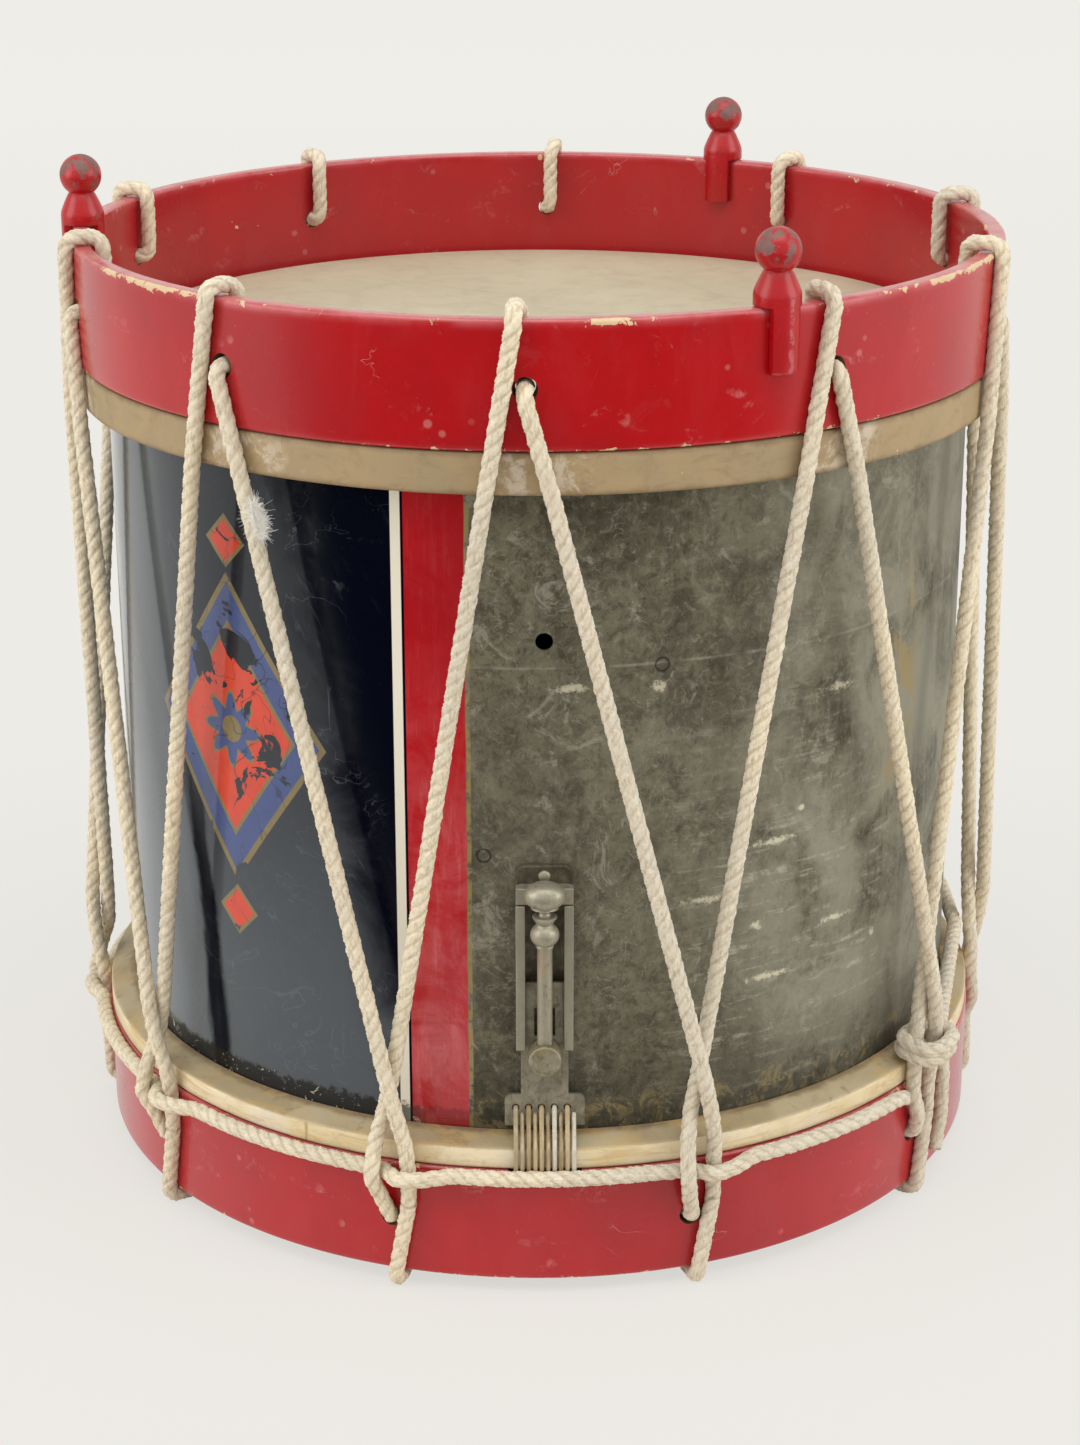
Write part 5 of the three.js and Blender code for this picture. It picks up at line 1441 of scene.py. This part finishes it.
def screw_socket(name, low, high, radius):
    """A drill along the strainer screw's line."""
    y = face_y(SCREW_DEPTH)
    return rod(name, (0, y, up(low)), (0, y, up(high)), radius, 32)


def domed_head(place, flatness):
    """A screw's head, round in front and flat where it lies on its plate."""
    start()
    bpy.ops.mesh.primitive_uv_sphere_add(segments=32, ring_count=16, radius=2.4 * MM, location=place)
    bpy.context.object.scale = (1, flatness, 1)
    head = settle("head")
    reach = 10 * MM
    low, high = (-reach, 0) if place.y > 0 else (0, reach)
    low, high = Vector((-reach, low, -reach)), Vector((reach, high, reach))
    cut(head, block("under", place + low, place + high))
    return head


def slab(name, half, low, high, back, front, top_round=0.0, round_all=False):
    """An upright plate. Its top corners, or all four, are rounded."""
    half *= MM
    piece = block(name, (-half, face_y(front), up(low)), (half, face_y(back), up(high)))
    if top_round:
        edit(piece)
        crest = up(high) - 0.1 * MM
        def corner(edge):
            flat = abs(edge.verts[0].co.z - edge.verts[1].co.z) < 1e-6
            deep = abs(edge.verts[0].co.y - edge.verts[1].co.y) > 1e-6
            return flat and deep and (round_all or middle(edge).z > crest)
        select(corner, "edges")
        bpy.ops.mesh.bevel(offset=top_round * MM, segments=8, affect="EDGES")
        done()
    return piece


def rail_part(name, side, near, back):
    """A wall or a lip of the rail on one side of the strainer's plate."""
    left, right = sorted((side * near * MM, side * RAIL_EDGE * MM))
    return block(name, (left, face_y(7.5), up(RAIL_LOW)), (right, face_y(back), up(RAIL_HIGH)))


def make_channel(plated):
    """The strainer's plate, dished inside its rim, with a folded rail on each side."""
    plate = slab("strainer_back_plate", RAIL_EDGE, RAIL_LOW, 126.1, 0.3, 1.9, 4.0)
    cut(plate, slab("hollow", 9.9, 40.0, 125.0, 1.2, 3.0, 3.2))
    parts = [plate]
    for side in (-1, 1):
        rail = fuse(rail_part("wall", side, 9.8, 0.5), rail_part("lip", side, 7.4, 5.8))
        soften(rail, 0.75 * MM, 4)
        parts.append(rail)
    plate = joined("strainer_channel", *parts)
    soften(plate, 0.15 * MM, 2, 50)
    smooth(plate, 40)
    paint(plate, plated)
    mount(plate, "drum", "strainer_metal", "strainer_plate")


def make_lug(bright):
    """The fixed nut: a bar with shoulders and a domed middle that the screw passes into."""
    lug = slab("strainer_nut", 9.6, LUG_LOW, LUG_HIGH, 1.3, 6.8)
    fuse(lug, slab("shoulders", 10.9, LUG_LOW, LUG_HIGH, 2.2, 6.8))
    soften(lug, 0.9 * MM, 4)
    line = [(0.0, LUG_LOW), (4.6, LUG_LOW)]
    for t in range(-60, 90, 10):
        turn = math.radians(t)
        line.append((6.8 * math.cos(turn) ** 0.75, 117.0 + 5.1 * math.sin(turn)))
    line.append((0.0, 122.1))
    dome = spun("dome", strainer_line(line), 48, (0, face_y(SCREW_DEPTH)))
    dome.scale = (7.9 / 6.8, 1, 1)
    take(dome)
    settle("dome")
    cut(dome, slab("flat", 20, 100, 130, -5, 2.2))
    fuse(lug, dome)
    cut(lug, screw_socket("bore", 108, 118.8, 2.6 * MM))
    soften(lug, 0.35 * MM, 3, 50)
    smooth(lug, 45)
    paint(lug, bright)
    mount(lug, "drum", "strainer_metal", "strainer_lug")


def make_strainer(colours):
    plated = metal_finish(colours, "tarnished_plate", colours.metal, colours.metal_dull, recess=0.75)
    bright = metal_finish(colours, "rubbed_plate", colours.metal_bright, colours.metal, 0.5, 0.3)
    copper = metal_finish(colours, "rod_metal", colours.metal_bright, colours.metal, 0.8, 0.36, 0.6)
    brassy = metal_finish(colours, "boss_metal", colours.boss, colours.metal, 0.4, 0.4)
    make_channel(plated)
    make_lug(bright)
    for i, height in enumerate((121.5, 92.0)):
        screw = pin("plate_screw", 0, height, -4.4, 1.8, SCREW_RADIUS, 24)
        fuse(screw, domed_head(Vector((0, face_y(1.3), up(height))), 0.6))
        screw.name = f"plate_rivet_{i + 1}"
        smooth(screw, 40)
        paint(screw, bright)
        mount(screw, "drum", "strainer_metal", f"strainer_plate_screw_{i + 1}")
    make_screw(bright, copper)
    make_slide(plated, brassy)


def strainer_line(line):
    """A line of radii and heights in millimetres, set on the strainer."""
    return [(radius * MM, up(height)) for radius, height in line]


def make_screw(bright, copper):
    """The strainer's screw: foot, rod, ball with its collar, and threaded neck."""
    line = [(0.0, 52.2), (2.9, 52.2), (2.9, 60), (2.9, 75), (2.9, 88), (2.9, 95.2),
            (3.3, 95.8), (3.4, 96.3), (3.15, 96.9)]
    for t in range(-52, 60, 8):
        turn = math.radians(t)
        line.append((5.55 * math.cos(turn), 101.0 + 5.0 * math.sin(turn)))
    line += [(3.1, 105.5), (3.4, 106.0), (4.0, 107.1), (4.7, 108.2), (4.75, 108.6),
             (4.4, 108.9), (2.35, 108.95), (2.3, 109.1)]
    line += [(2.3 - 0.25 * (i % 2), 109.5 + 0.62 * i) for i in range(10)]
    line.append((0.0, 115.5))
    screw = spun("thumb_screw", strainer_line(line), 48, (0, face_y(SCREW_DEPTH)))
    screw.data.materials.append(bright.material)
    screw.data.materials.append(copper.material)
    for face in screw.data.polygons:
        face.material_index = int(face.center.z < up(96))
    smooth(screw, 40)
    mount(screw, "screw", "strainer_metal", "strainer_screw")


def make_slide(plated, brassy):
    """The slide with its hook bar and window, and the round boss riveted to it."""
    slide = slab("slide_plate", 9.2, 30.0, 79.0, SLIDE_BACK, SLIDE_FRONT)
    fuse(slide, slab("hook", 15.5, HOOK_LOW, HOOK_HIGH, SLIDE_BACK, SLIDE_FRONT, 2.6))
    tools = [slab("window", 4, 56.4, 68.4, 0, 9), pin("stud", 0, BOSS_HEIGHT, 0, 9, 2.5 * MM)]
    for i in range(0, GUT_COUNT, 2):
        tools.append(pin("gut_hole", gut_x(i), GUT_HOLES, 0, 9, GUT_HOLE_RADIUS, 24))
    cut(slide, *tools)
    soften(slide, 0.25 * MM, 2, 50)
    smooth(slide, 40)
    slide.name = "hook_slide"
    paint(slide, plated)
    mount(slide, "slide", "strainer_metal", "snare_slide")

    boss = pin("round_boss", 0, BOSS_HEIGHT, 5.3, 14.3, 6.3 * MM, 64)
    soften(boss, 0.9 * MM, 4)
    fuse(boss, pin("stud", 0, BOSS_HEIGHT, 3.1, 6.0, 2.2 * MM),
         pin("rivet", 0, BOSS_HEIGHT, 2.5, 3.1, 3.4 * MM))
    cut(boss, screw_socket("socket", 51.9, 60, 3.2 * MM))
    edit(boss)
    select(lambda face: face.normal.y < -0.95 and middle(face).y < face_y(14.0))
    bpy.ops.mesh.inset(thickness=0.9 * MM, depth=-0.25 * MM)
    done()
    soften(boss, 0.2 * MM, 2, 50)
    smooth(boss, 40)
    paint(boss, brassy)
    mount(boss, "slide", "strainer_metal", "slide_boss")


def butt_half(name, low, high, back, front, side):
    """Half of the butt plate, with one edge drawn out aslant to meet the other half."""
    half = 15 * MM
    piece = block(name, (-half, -face_y(back), up(low)), (half, -face_y(front), up(high)))
    edit(piece)
    select(lambda face: face.normal.z * side > 0.9)
    slant = (0, -1.55 * side * MM, 0.9 * side * MM)
    bpy.ops.mesh.extrude_region_move(TRANSFORM_OT_translate={"value": slant})
    done()
    return piece


def make_butt(colours):
    """The plate that holds the snares at the back, with its two screws."""
    plated = metal_finish(colours, "butt_metal", colours.metal, colours.metal_dull)
    places = (-10.2 * MM, 10.2 * MM)
    butt = fuse(butt_half("butt_clamp", HOOK_LOW, HOOK_HIGH, SLIDE_BACK, SLIDE_FRONT, 1),
                butt_half("top", 33.4, 44.0, 0.3, 1.9, -1))
    tools = [pin("hole", x, BUTT_SCREWS, -1, 4, 1.7 * MM, 24, -1) for x in places]
    for i in range(1, GUT_COUNT - 1, 2):
        tools.append(pin("gut_hole", gut_x(i), GUT_HOLES, 2, 7, GUT_HOLE_RADIUS, 24, -1))
    cut(butt, *tools)
    soften(butt, 0.35 * MM, 3, 30)
    smooth(butt, 40)
    paint(butt, plated)
    mount(butt, "drum", "strainer_metal", "snare_butt_plate")
    for i, x in enumerate(places):
        screw = pin("butt_screw", x, BUTT_SCREWS, -4.4, 2.4, SCREW_RADIUS, 24, -1)
        place = Vector((x, -face_y(2.2), up(BUTT_SCREWS)))
        head = domed_head(place, 0.5)
        low, high = Vector((-10, 0.7, -0.3)) * MM, Vector((10, 10, 0.3)) * MM
        cut(head, block("slit", place + low, place + high))
        fuse(screw, head)
        screw.name = f"butt_screw_{i + 1}"
        smooth(screw, 40)
        paint(screw, plated)
        mount(screw, "drum", "strainer_metal", f"butt_plate_screw_{i + 1}")


# Snares


GUT_LAY = 20 * MM


def gut_end(in_front, lowered):
    """One end of a snare strand, as depth in front of the shell and height, in millimetres."""
    radius, gap = GUT_RADIUS / MM, 0.3
    off = gap + radius
    flesh_base = FOOT_HIGH.z / MM + 0.3
    flesh_top = flesh_base + SNARE_LAP
    rim = (FLESH_RADIUS - SHELL_RADIUS) / MM
    hole = BASE / MM + GUT_HOLES - lowered
    hook = BASE / MM + HOOK_LOW
    if in_front:
        ahead = SLIDE_FRONT + off
        climb = [(SLIDE_BACK - off, hole), (SLIDE_FRONT, hole), (ahead, hole - off),
                 (ahead, hole - 3 * off)]
    else:
        climb = [(SLIDE_BACK - off, hole - off), (SLIDE_BACK - off, hook), (SLIDE_BACK, hook - 2 * off),
                 (rim - radius, flesh_top + off + gap)]
    return climb + [(rim + off, flesh_top), (rim + off, flesh_base + 1.2),
                    (rim + gap, flesh_base - radius), (rim - off, flesh_base - off),
                    (SLIDE_BACK, flesh_base - off), (0, flesh_base - SNARE_COLLAR - radius),
                    (-off, flesh_base - SNARE_COLLAR - off)]


def make_snares(colours):
    """One strand laced to and fro under the snare head. What shows in front is made a piece of its own.
    """
    gut = gut_finish(colours)
    points = []
    for i in range(GUT_COUNT):
        runs = []
        for face, in_front in ((1, True), (-1, 0 < i < GUT_COUNT - 1)):
            line = gut_end(in_front, 2.8 * (i % 2) if face > 0 else 0.0)
            x = gut_x(i)
            runs.append([Vector((x, face * face_y(depth), height * MM)) for depth, height in line])
        strand = runs[0] + runs[1][::-1]
        points += strand if i % 2 else strand[::-1]
    course = framed(points, 0.7 * MM)
    in_front = course[0][:, 1] < -0.15
    count = len(in_front)
    changes = [0] + [i for i in range(1, count) if in_front[i] != in_front[i - 1]] + [count]
    section = np.full(10, GUT_RADIUS)
    fronts, rests = [], []
    for first, last in zip(changes, changes[1:]):
        if last - first > 1:
            piece = laid_rope("gut_part", course, slice(max(0, first - 1), last), section, GUT_LAY)
            (fronts if in_front[first] else rests).append(piece)
    front = joined("gut_at_strainer", *fronts)
    rest = joined("gut_under_head", *rests)
    for piece in (front, rest):
        paint(piece, gut)
        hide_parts("gut_snares")
    up(18.3)
    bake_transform(front)
    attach(rest, "drum")


def finish_hidden(colours):
    """Gives the pieces that stay as they are in the frame their finish."""
    wood = wood_finish(colours)
    metal = metal_finish(colours, "nut_metal", colours.metal, colours.metal_dull)
    rings = ("upper_bearing_ring", "lower_bearing_ring", "upper_flesh_hoop", "lower_flesh_hoop")
    nuts = ("strainer_plate_nut_1", "strainer_plate_nut_2", "butt_plate_nut_1", "butt_plate_nut_2")
    for nodes, finish in ((rings, wood), (nuts, metal)):
        for node in nodes:
            paint(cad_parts[node], finish)


# Stage


PAPER_END = -0.46
SENSOR = 36
FOCAL_PIXELS, PHOTO_HEIGHT = 2926.3, 1445
CAMERA_PLACE = (-0.01465, -1.1993, 0.6031)
CAMERA_TURN = (19.825, 0.734, -0.079)


def softbox(name, place, target, width, height, power):
    """A lamp with a wide soft face, turned to its target."""
    start()
    bpy.ops.object.light_add(type="AREA", location=place)
    lamp = bpy.context.object
    lamp.name = name
    lamp.data.shape = "RECTANGLE"
    lamp.data.size = width
    lamp.data.size_y = height
    lamp.data.energy = power
    lamp.rotation_euler = (Vector(target) - Vector(place)).to_track_quat("-Z", "Y").to_euler()


def paper_finish(colour, share):
    """Pale paper that reads as white to the camera and keeps the object's shadow.

    In what it mirrors on the drum it ends in the dark of the room, in front of the drum."""
    material = bpy.data.materials.new("floor_paper")
    material.use_nodes = True
    graph = Graph(material.node_tree)
    graph.tree.nodes.clear()
    mirrored = graph.node("ShaderNodeLightPath", {}, {}, "Is Glossy Ray")
    seen = graph.node("ShaderNodeLightPath", {}, {}, "Is Camera Ray").most(mirrored)
    place = graph.node("ShaderNodeTexCoord", {}, {}, "Object")
    depth = graph.node("ShaderNodeSeparateXYZ", {}, {0: place}, 1)
    aslant = depth + abs(graph.node("ShaderNodeSeparateXYZ", {}, {0: place}, 0)) * 0.35
    ends = graph.node("ShaderNodeMapRange", {"interpolation_type": "SMOOTHSTEP"},
                      {0: aslant, 1: PAPER_END, 2: PAPER_END + 0.18, 3: 0.06, 4: 1.0})
    far = graph.node("ShaderNodeMapRange", {}, {0: depth, 1: -0.4, 2: 3.2, 3: 0.925, 4: 1.10})
    bright = far * (1 - mirrored * (1 - ends))
    diffuse = graph.node("ShaderNodeBsdfDiffuse", {}, {"Color": linear(240, 234, 225)})
    glow = graph.node("ShaderNodeEmission", {}, {"Color": colour, "Strength": bright})
    factor = (seen * share).most(mirrored)
    mixed = graph.node("ShaderNodeMixShader", {}, {0: factor, 1: diffuse, 2: glow})
    graph.node("ShaderNodeOutputMaterial", {}, {0: mixed})
    return material


def make_room(studio):
    """Soft light from all round, and a pale backdrop where the camera or a mirror sees it."""
    world = bpy.data.worlds.new("studio")
    bpy.context.scene.world = world
    world.use_nodes = True
    graph = Graph(world.node_tree)
    graph.tree.nodes.clear()
    seen = graph.node("ShaderNodeLightPath", {}, {}, "Is Camera Ray")
    for ray in ("Is Glossy Ray", "Is Transmission Ray"):
        seen = seen.most(graph.node("ShaderNodeLightPath", {}, {}, ray))
    strength = studio.world_strength
    soft = graph.node("ShaderNodeBackground", {}, {"Color": (1, 1, 1), "Strength": strength})
    shown = graph.node("ShaderNodeBackground", {}, {"Color": linear(237, 238, 234), "Strength": 1.0})
    mixed = graph.node("ShaderNodeMixShader", {}, {0: seen, 1: soft, 2: shown})
    graph.node("ShaderNodeOutputWorld", {}, {0: mixed})


def make_stage(studio):
    start()
    bpy.ops.mesh.primitive_plane_add(size=14, location=(0, 2, 0))
    floor = settle("studio_floor")
    floor.data.materials.append(paper_finish(linear(239, 238, 233), 0.80))
    make_room(studio)

    middle_of_drum = (0, 0, 0.2)
    softbox("softbox_left", (-2.2, -0.9, 1.1), middle_of_drum, 1.6, 2.2, studio.side_power)
    softbox("softbox_right", (2.2, -0.9, 1.1), middle_of_drum, 1.6, 2.2, studio.side_power)
    softbox("softbox_top", (0, -0.6, 2.6), middle_of_drum, 2.4, 2.0, studio.top_power)

    data = bpy.data.cameras.new("photo_camera")
    camera = bpy.data.objects.new("photo_camera", data)
    bpy.context.scene.collection.objects.link(camera)
    data.sensor_width = SENSOR
    data.sensor_fit = "AUTO"
    data.lens = SENSOR * FOCAL_PIXELS / PHOTO_HEIGHT
    data.clip_start, data.clip_end = 0.05, 60
    pitch, yaw, roll = (math.radians(a) for a in CAMERA_TURN)
    camera.location = CAMERA_PLACE
    ahead = Vector((math.sin(yaw) * math.cos(pitch), math.cos(yaw) * math.cos(pitch), -math.sin(pitch)))
    turn = ahead.to_track_quat("-Z", "Y").to_matrix().to_4x4() @ Matrix.Rotation(roll, 4, "Z")
    camera.rotation_euler = turn.to_euler()
    bpy.context.scene.camera = camera
    bpy.context.scene.view_settings.view_transform = "Standard"


# Settings


def colour_setting(name, description, red, green, blue):
    return bpy.props.FloatVectorProperty(name=name, description=description, subtype="COLOR", size=3,
                                         min=0, max=1, default=linear(red, green, blue))


class DrumColours(bpy.types.PropertyGroup):
    """Colours of the drum's finishes."""

    red: colour_setting("Red", "Gloss paint of the hoops, pegs and stripe", 178, 0, 10)
    # Also the darker red of the painted reflection bands.
    red_worn_and_shaded: colour_setting("Red, worn", "The same paint where it is rubbed", 160, 4, 16)
    # Also the paler red of the painted reflection bands, the painted sheen on the hoops and the painted
    # highlight along their rims.
    red_haze_and_sheen: colour_setting("Red, hazed", "The same paint under haze and fine rubs", 196, 92, 96)
    undercoat: colour_setting("Undercoat", "What shows where red paint is chipped", 206, 172, 126)
    undercoat_pale: colour_setting("Undercoat, pale", "Lighter parts of the chips", 226, 202, 164)
    scuff: colour_setting("Scuff", "Pale scuffs and dents in the red paint", 208, 140, 136)
    grime: colour_setting("Grime", "Dirt on the paint", 70, 45, 42)
    peg_soiled: colour_setting("Peg, soiled", "Dirt on the rubbed wood of the pegs", 92, 64, 58)
    peg_bare: colour_setting("Peg, bare", "Rubbed wood of the pegs", 124, 108, 98)
    navy: colour_setting("Navy", "Gloss paint of the panel", 3, 6, 20)
    navy_hazed: colour_setting("Navy, hazed", "The panel under haze", 26, 30, 38)
    # Also the grey of the painted sheen on the navy panel.
    dust_and_sheen: colour_setting("Dust", "Dust and fine scratches on the panel", 116, 124, 130)
    stripe_white: colour_setting("White stripe", "Stripe between the panel and the red", 226, 221, 203)
    gold: colour_setting("Gold line", "Line along the red stripe", 150, 136, 84)
    ornament_red: colour_setting("Ornament, red", "Orange-red of the ornament", 222, 78, 54)
    ornament_blue: colour_setting("Ornament, blue", "Blue of the ornament", 78, 92, 140)
    ornament_gold: colour_setting("Ornament, gold", "Outline of the ornament", 138, 122, 82)
    brass: colour_setting("Brass", "Tarnished sheet brass", 112, 107, 90)
    brass_dark: colour_setting("Brass, dark", "Darker tarnish", 86, 82, 68)
    brass_deep: colour_setting("Brass, deep", "Darkest tarnish between the mottles", 54, 52, 42)
    brass_black: colour_setting("Brass, black", "Edges of holes", 40, 36, 30)
    brass_light: colour_setting("Brass, light", "Lighter tarnish", 130, 124, 102)
    # Also the painted highlight on the right front of the shell.
    brass_bloom_and_highlight: colour_setting("Brass, bloom", "Grey bloom on the tarnish", 152, 149, 132)
    # Only used for the painted sheen near the right side of the shell.
    brass_pale: colour_setting("Brass, pale", "Pale grey film towards the side", 150, 148, 134)
    brass_warm: colour_setting("Brass, warm", "Yellow brass that shows through", 158, 140, 98)
    scratch: colour_setting("Scratch", "Fresh rubs on the brass", 178, 175, 160)
    speck: colour_setting("Speck", "Spots of old white paint", 222, 216, 188)
    skin: colour_setting("Skin", "Batter head", 198, 188, 160)
    skin_dark: colour_setting("Skin, dark", "Batter head, soiled", 186, 175, 147)
    skin_stain: colour_setting("Skin, stain", "Stains on the batter head", 150, 137, 112)
    snare_skin: colour_setting("Snare skin", "Snare head", 222, 206, 165)
    snare_skin_dark: colour_setting("Snare skin, dark", "Snare head, browner", 200, 180, 134)
    wrap_tan: colour_setting("Lap, tan", "Skin lapped round the upper flesh hoop", 170, 145, 106)
    wrap_grey: colour_setting("Lap, grey", "The same, greyer", 158, 138, 104)
    # Also the painted shade along the edges of the upper lap.
    wrap_brown: colour_setting("Lap, brown", "The same, soiled", 116, 92, 62)
    wrap_cream: colour_setting("Lap, cream", "Skin lapped round the lower flesh hoop", 224, 204, 160)
    wrap_pale: colour_setting("Lap, pale", "The same, paler", 236, 222, 190)
    wrap_golden: colour_setting("Lap, golden", "Yellowed streaks on the lower flesh hoop", 204, 166, 98)
    wrap_rubbed: colour_setting("Lap, rubbed", "Where the rope has rubbed it pale", 222, 212, 196)
    ledge_grey: colour_setting("Ledge, grey", "Dust on the lower flesh hoop", 188, 173, 140)
    ledge_tan: colour_setting("Ledge, tan", "The same, browner", 164, 146, 110)
    wood: colour_setting("Wood", "Bare wood", 178, 146, 100)
    wood_dark: colour_setting("Wood, dark", "Bare wood, darker grain", 128, 96, 62)
    hole: colour_setting("Hole", "Inside of the rope holes", 60, 38, 30)
    rope: colour_setting("Rope", "Cotton rope", 247, 233, 202)
    rope_grey: colour_setting("Rope, grey", "Cotton rope, greyer", 228, 218, 197)
    rope_warm: colour_setting("Rope, warm", "Yellowed fibres", 220, 190, 152)
    rope_brown: colour_setting("Rope, brown", "Brown specks in the rope", 150, 116, 80)
    rope_pale: colour_setting("Rope, pale", "Broken fibres", 250, 243, 226)
    # Also the painted shade in the rope's grooves.
    rope_groove: colour_setting("Rope, grooves", "Soiled grooves of the rope", 176, 157, 124)
    rope_soiled: colour_setting("Rope, soiled", "Soiled stretches", 196, 180, 150)
    tuft: colour_setting("Tuft", "Fresh broken fibres", 253, 252, 249)
    metal: colour_setting("Metal", "Plated fittings", 156, 149, 128)
    # Also the painted highlight on the rail lips of the strainer.
    metal_bright: colour_setting("Metal, bright", "Fittings where they are rubbed", 166, 161, 142)
    metal_dull: colour_setting("Metal, dull", "Tarnished plating", 118, 111, 92)
    # Also the painted shade near the shell on the strainer.
    metal_dark: colour_setting("Metal, dark", "Black tarnish", 58, 48, 34)
    metal_copper: colour_setting("Metal, copper", "Copper tone on the rod", 172, 150, 122)
    boss: colour_setting("Boss", "Face of the slide's boss", 142, 132, 102)
    gut: colour_setting("Gut", "Gut snares", 188, 166, 124)
    gut_brown: colour_setting("Gut, brown", "Darker gut", 156, 132, 92)
    gut_grey: colour_setting("Gut, grey", "Gut gone grey", 158, 146, 118)
    gut_white: colour_setting("Gut, white", "Bleached gut", 208, 202, 184)


class DrumStudio(bpy.types.PropertyGroup):
    """Light of the studio."""

    world_strength: bpy.props.FloatProperty(name="Room light", description="Soft light from all round",
                                            default=0.5, min=0, max=3)
    side_power: bpy.props.FloatProperty(name="Side softboxes", description="Power of each side softbox",
                                        default=26, min=0, max=500, unit="POWER")
    top_power: bpy.props.FloatProperty(name="Top softbox", description="Power of the softbox overhead",
                                       default=34, min=0, max=500, unit="POWER")


class DrumPiece:
    """What the operators share."""

    bl_options = {"REGISTER", "UNDO"}

    def colours(self, context):
        return context.scene.drum_colours


class DRUM_OT_stage(DrumPiece, bpy.types.Operator):
    """Sets the floor, the soft light and the camera"""

    bl_idname = "drum.stage"
    bl_label = "Studio"

    def execute(self, context):
        make_stage(context.scene.drum_studio)
        return {"FINISHED"}


class DRUM_OT_shell(DrumPiece, bpy.types.Operator):
    """Makes the painted brass shell with its vent"""

    bl_idname = "drum.shell"
    bl_label = "Shell"

    def execute(self, context):
        make_shell(self.colours(context))
        return {"FINISHED"}


class DRUM_OT_heads(DrumPiece, bpy.types.Operator):
    """Makes both calfskin heads, lapped round their flesh hoops"""

    bl_idname = "drum.heads"
    bl_label = "Heads"

    def execute(self, context):
        make_heads(self.colours(context))
        return {"FINISHED"}


class DRUM_OT_hoops(DrumPiece, bpy.types.Operator):
    """Makes the red counter hoops with their rope holes"""

    bl_idname = "drum.hoops"
    bl_label = "Counter hoops"

    def execute(self, context):
        make_counter_hoops(self.colours(context))
        return {"FINISHED"}


class DRUM_OT_pegs(DrumPiece, bpy.types.Operator):
    """Makes the three turned pegs on the upper hoop"""

    bl_idname = "drum.pegs"
    bl_label = "Pegs"

    def execute(self, context):
        make_pegs(self.colours(context))
        return {"FINISHED"}


class DRUM_OT_rope(DrumPiece, bpy.types.Operator):
    """Lays the lacing rope, its hitch and its frayed tuft"""

    bl_idname = "drum.rope"
    bl_label = "Rope"

    def execute(self, context):
        make_rope(self.colours(context))
        make_tuft(self.colours(context))
        return {"FINISHED"}


class DRUM_OT_strainer(DrumPiece, bpy.types.Operator):
    """Makes the snare strainer: plate, nut, screw, slide and boss"""

    bl_idname = "drum.strainer"
    bl_label = "Strainer"

    def execute(self, context):
        make_strainer(self.colours(context))
        return {"FINISHED"}


class DRUM_OT_butt(DrumPiece, bpy.types.Operator):
    """Makes the butt plate at the back"""

    bl_idname = "drum.butt"
    bl_label = "Butt plate"

    def execute(self, context):
        make_butt(self.colours(context))
        return {"FINISHED"}


class DRUM_OT_snares(DrumPiece, bpy.types.Operator):
    """Laces the gut snares"""

    bl_idname = "drum.snares"
    bl_label = "Snares"

    def execute(self, context):
        make_snares(self.colours(context))
        return {"FINISHED"}


class DRUM_OT_hidden(DrumPiece, bpy.types.Operator):
    """Finishes the rings, flesh hoops and nuts inside the drum"""

    bl_idname = "drum.hidden"
    bl_label = "Hidden pieces"

    def execute(self, context):
        finish_hidden(self.colours(context))
        return {"FINISHED"}


class DRUM_PT_panel(bpy.types.Panel):
    """Lists the drum's pieces in the order in which they are made"""

    bl_label = "Field drum"
    bl_space_type = "VIEW_3D"
    bl_region_type = "UI"
    bl_category = "Drum"

    def draw(self, context):
        for operator in OPERATORS:
            self.layout.operator(operator.bl_idname)
        studio = context.scene.drum_studio
        for name in ("world_strength", "side_power", "top_power"):
            self.layout.prop(studio, name)
        for name in ("red", "navy", "brass", "rope", "skin"):
            self.layout.prop(context.scene.drum_colours, name)


OPERATORS = (DRUM_OT_stage, DRUM_OT_shell, DRUM_OT_heads, DRUM_OT_hoops, DRUM_OT_pegs, DRUM_OT_rope,
             DRUM_OT_strainer, DRUM_OT_butt, DRUM_OT_snares, DRUM_OT_hidden)
CLASSES = (DrumColours, DrumStudio, *OPERATORS, DRUM_PT_panel)


def register():
    for cls in CLASSES:
        bpy.utils.register_class(cls)
    bpy.types.Scene.drum_colours = bpy.props.PointerProperty(type=DrumColours)
    bpy.types.Scene.drum_studio = bpy.props.PointerProperty(type=DrumStudio)


def unregister():
    del bpy.types.Scene.drum_studio
    del bpy.types.Scene.drum_colours
    for cls in reversed(CLASSES):
        bpy.utils.unregister_class(cls)


def main():
    register()
    bpy.ops.drum.stage()
    bpy.ops.drum.shell()
    bpy.ops.drum.heads()
    bpy.ops.drum.hoops()
    bpy.ops.drum.pegs()
    bpy.ops.drum.rope()
    bpy.ops.drum.strainer()
    bpy.ops.drum.butt()
    bpy.ops.drum.snares()
    bpy.ops.drum.hidden()


if __name__ == "__main__":
    main()
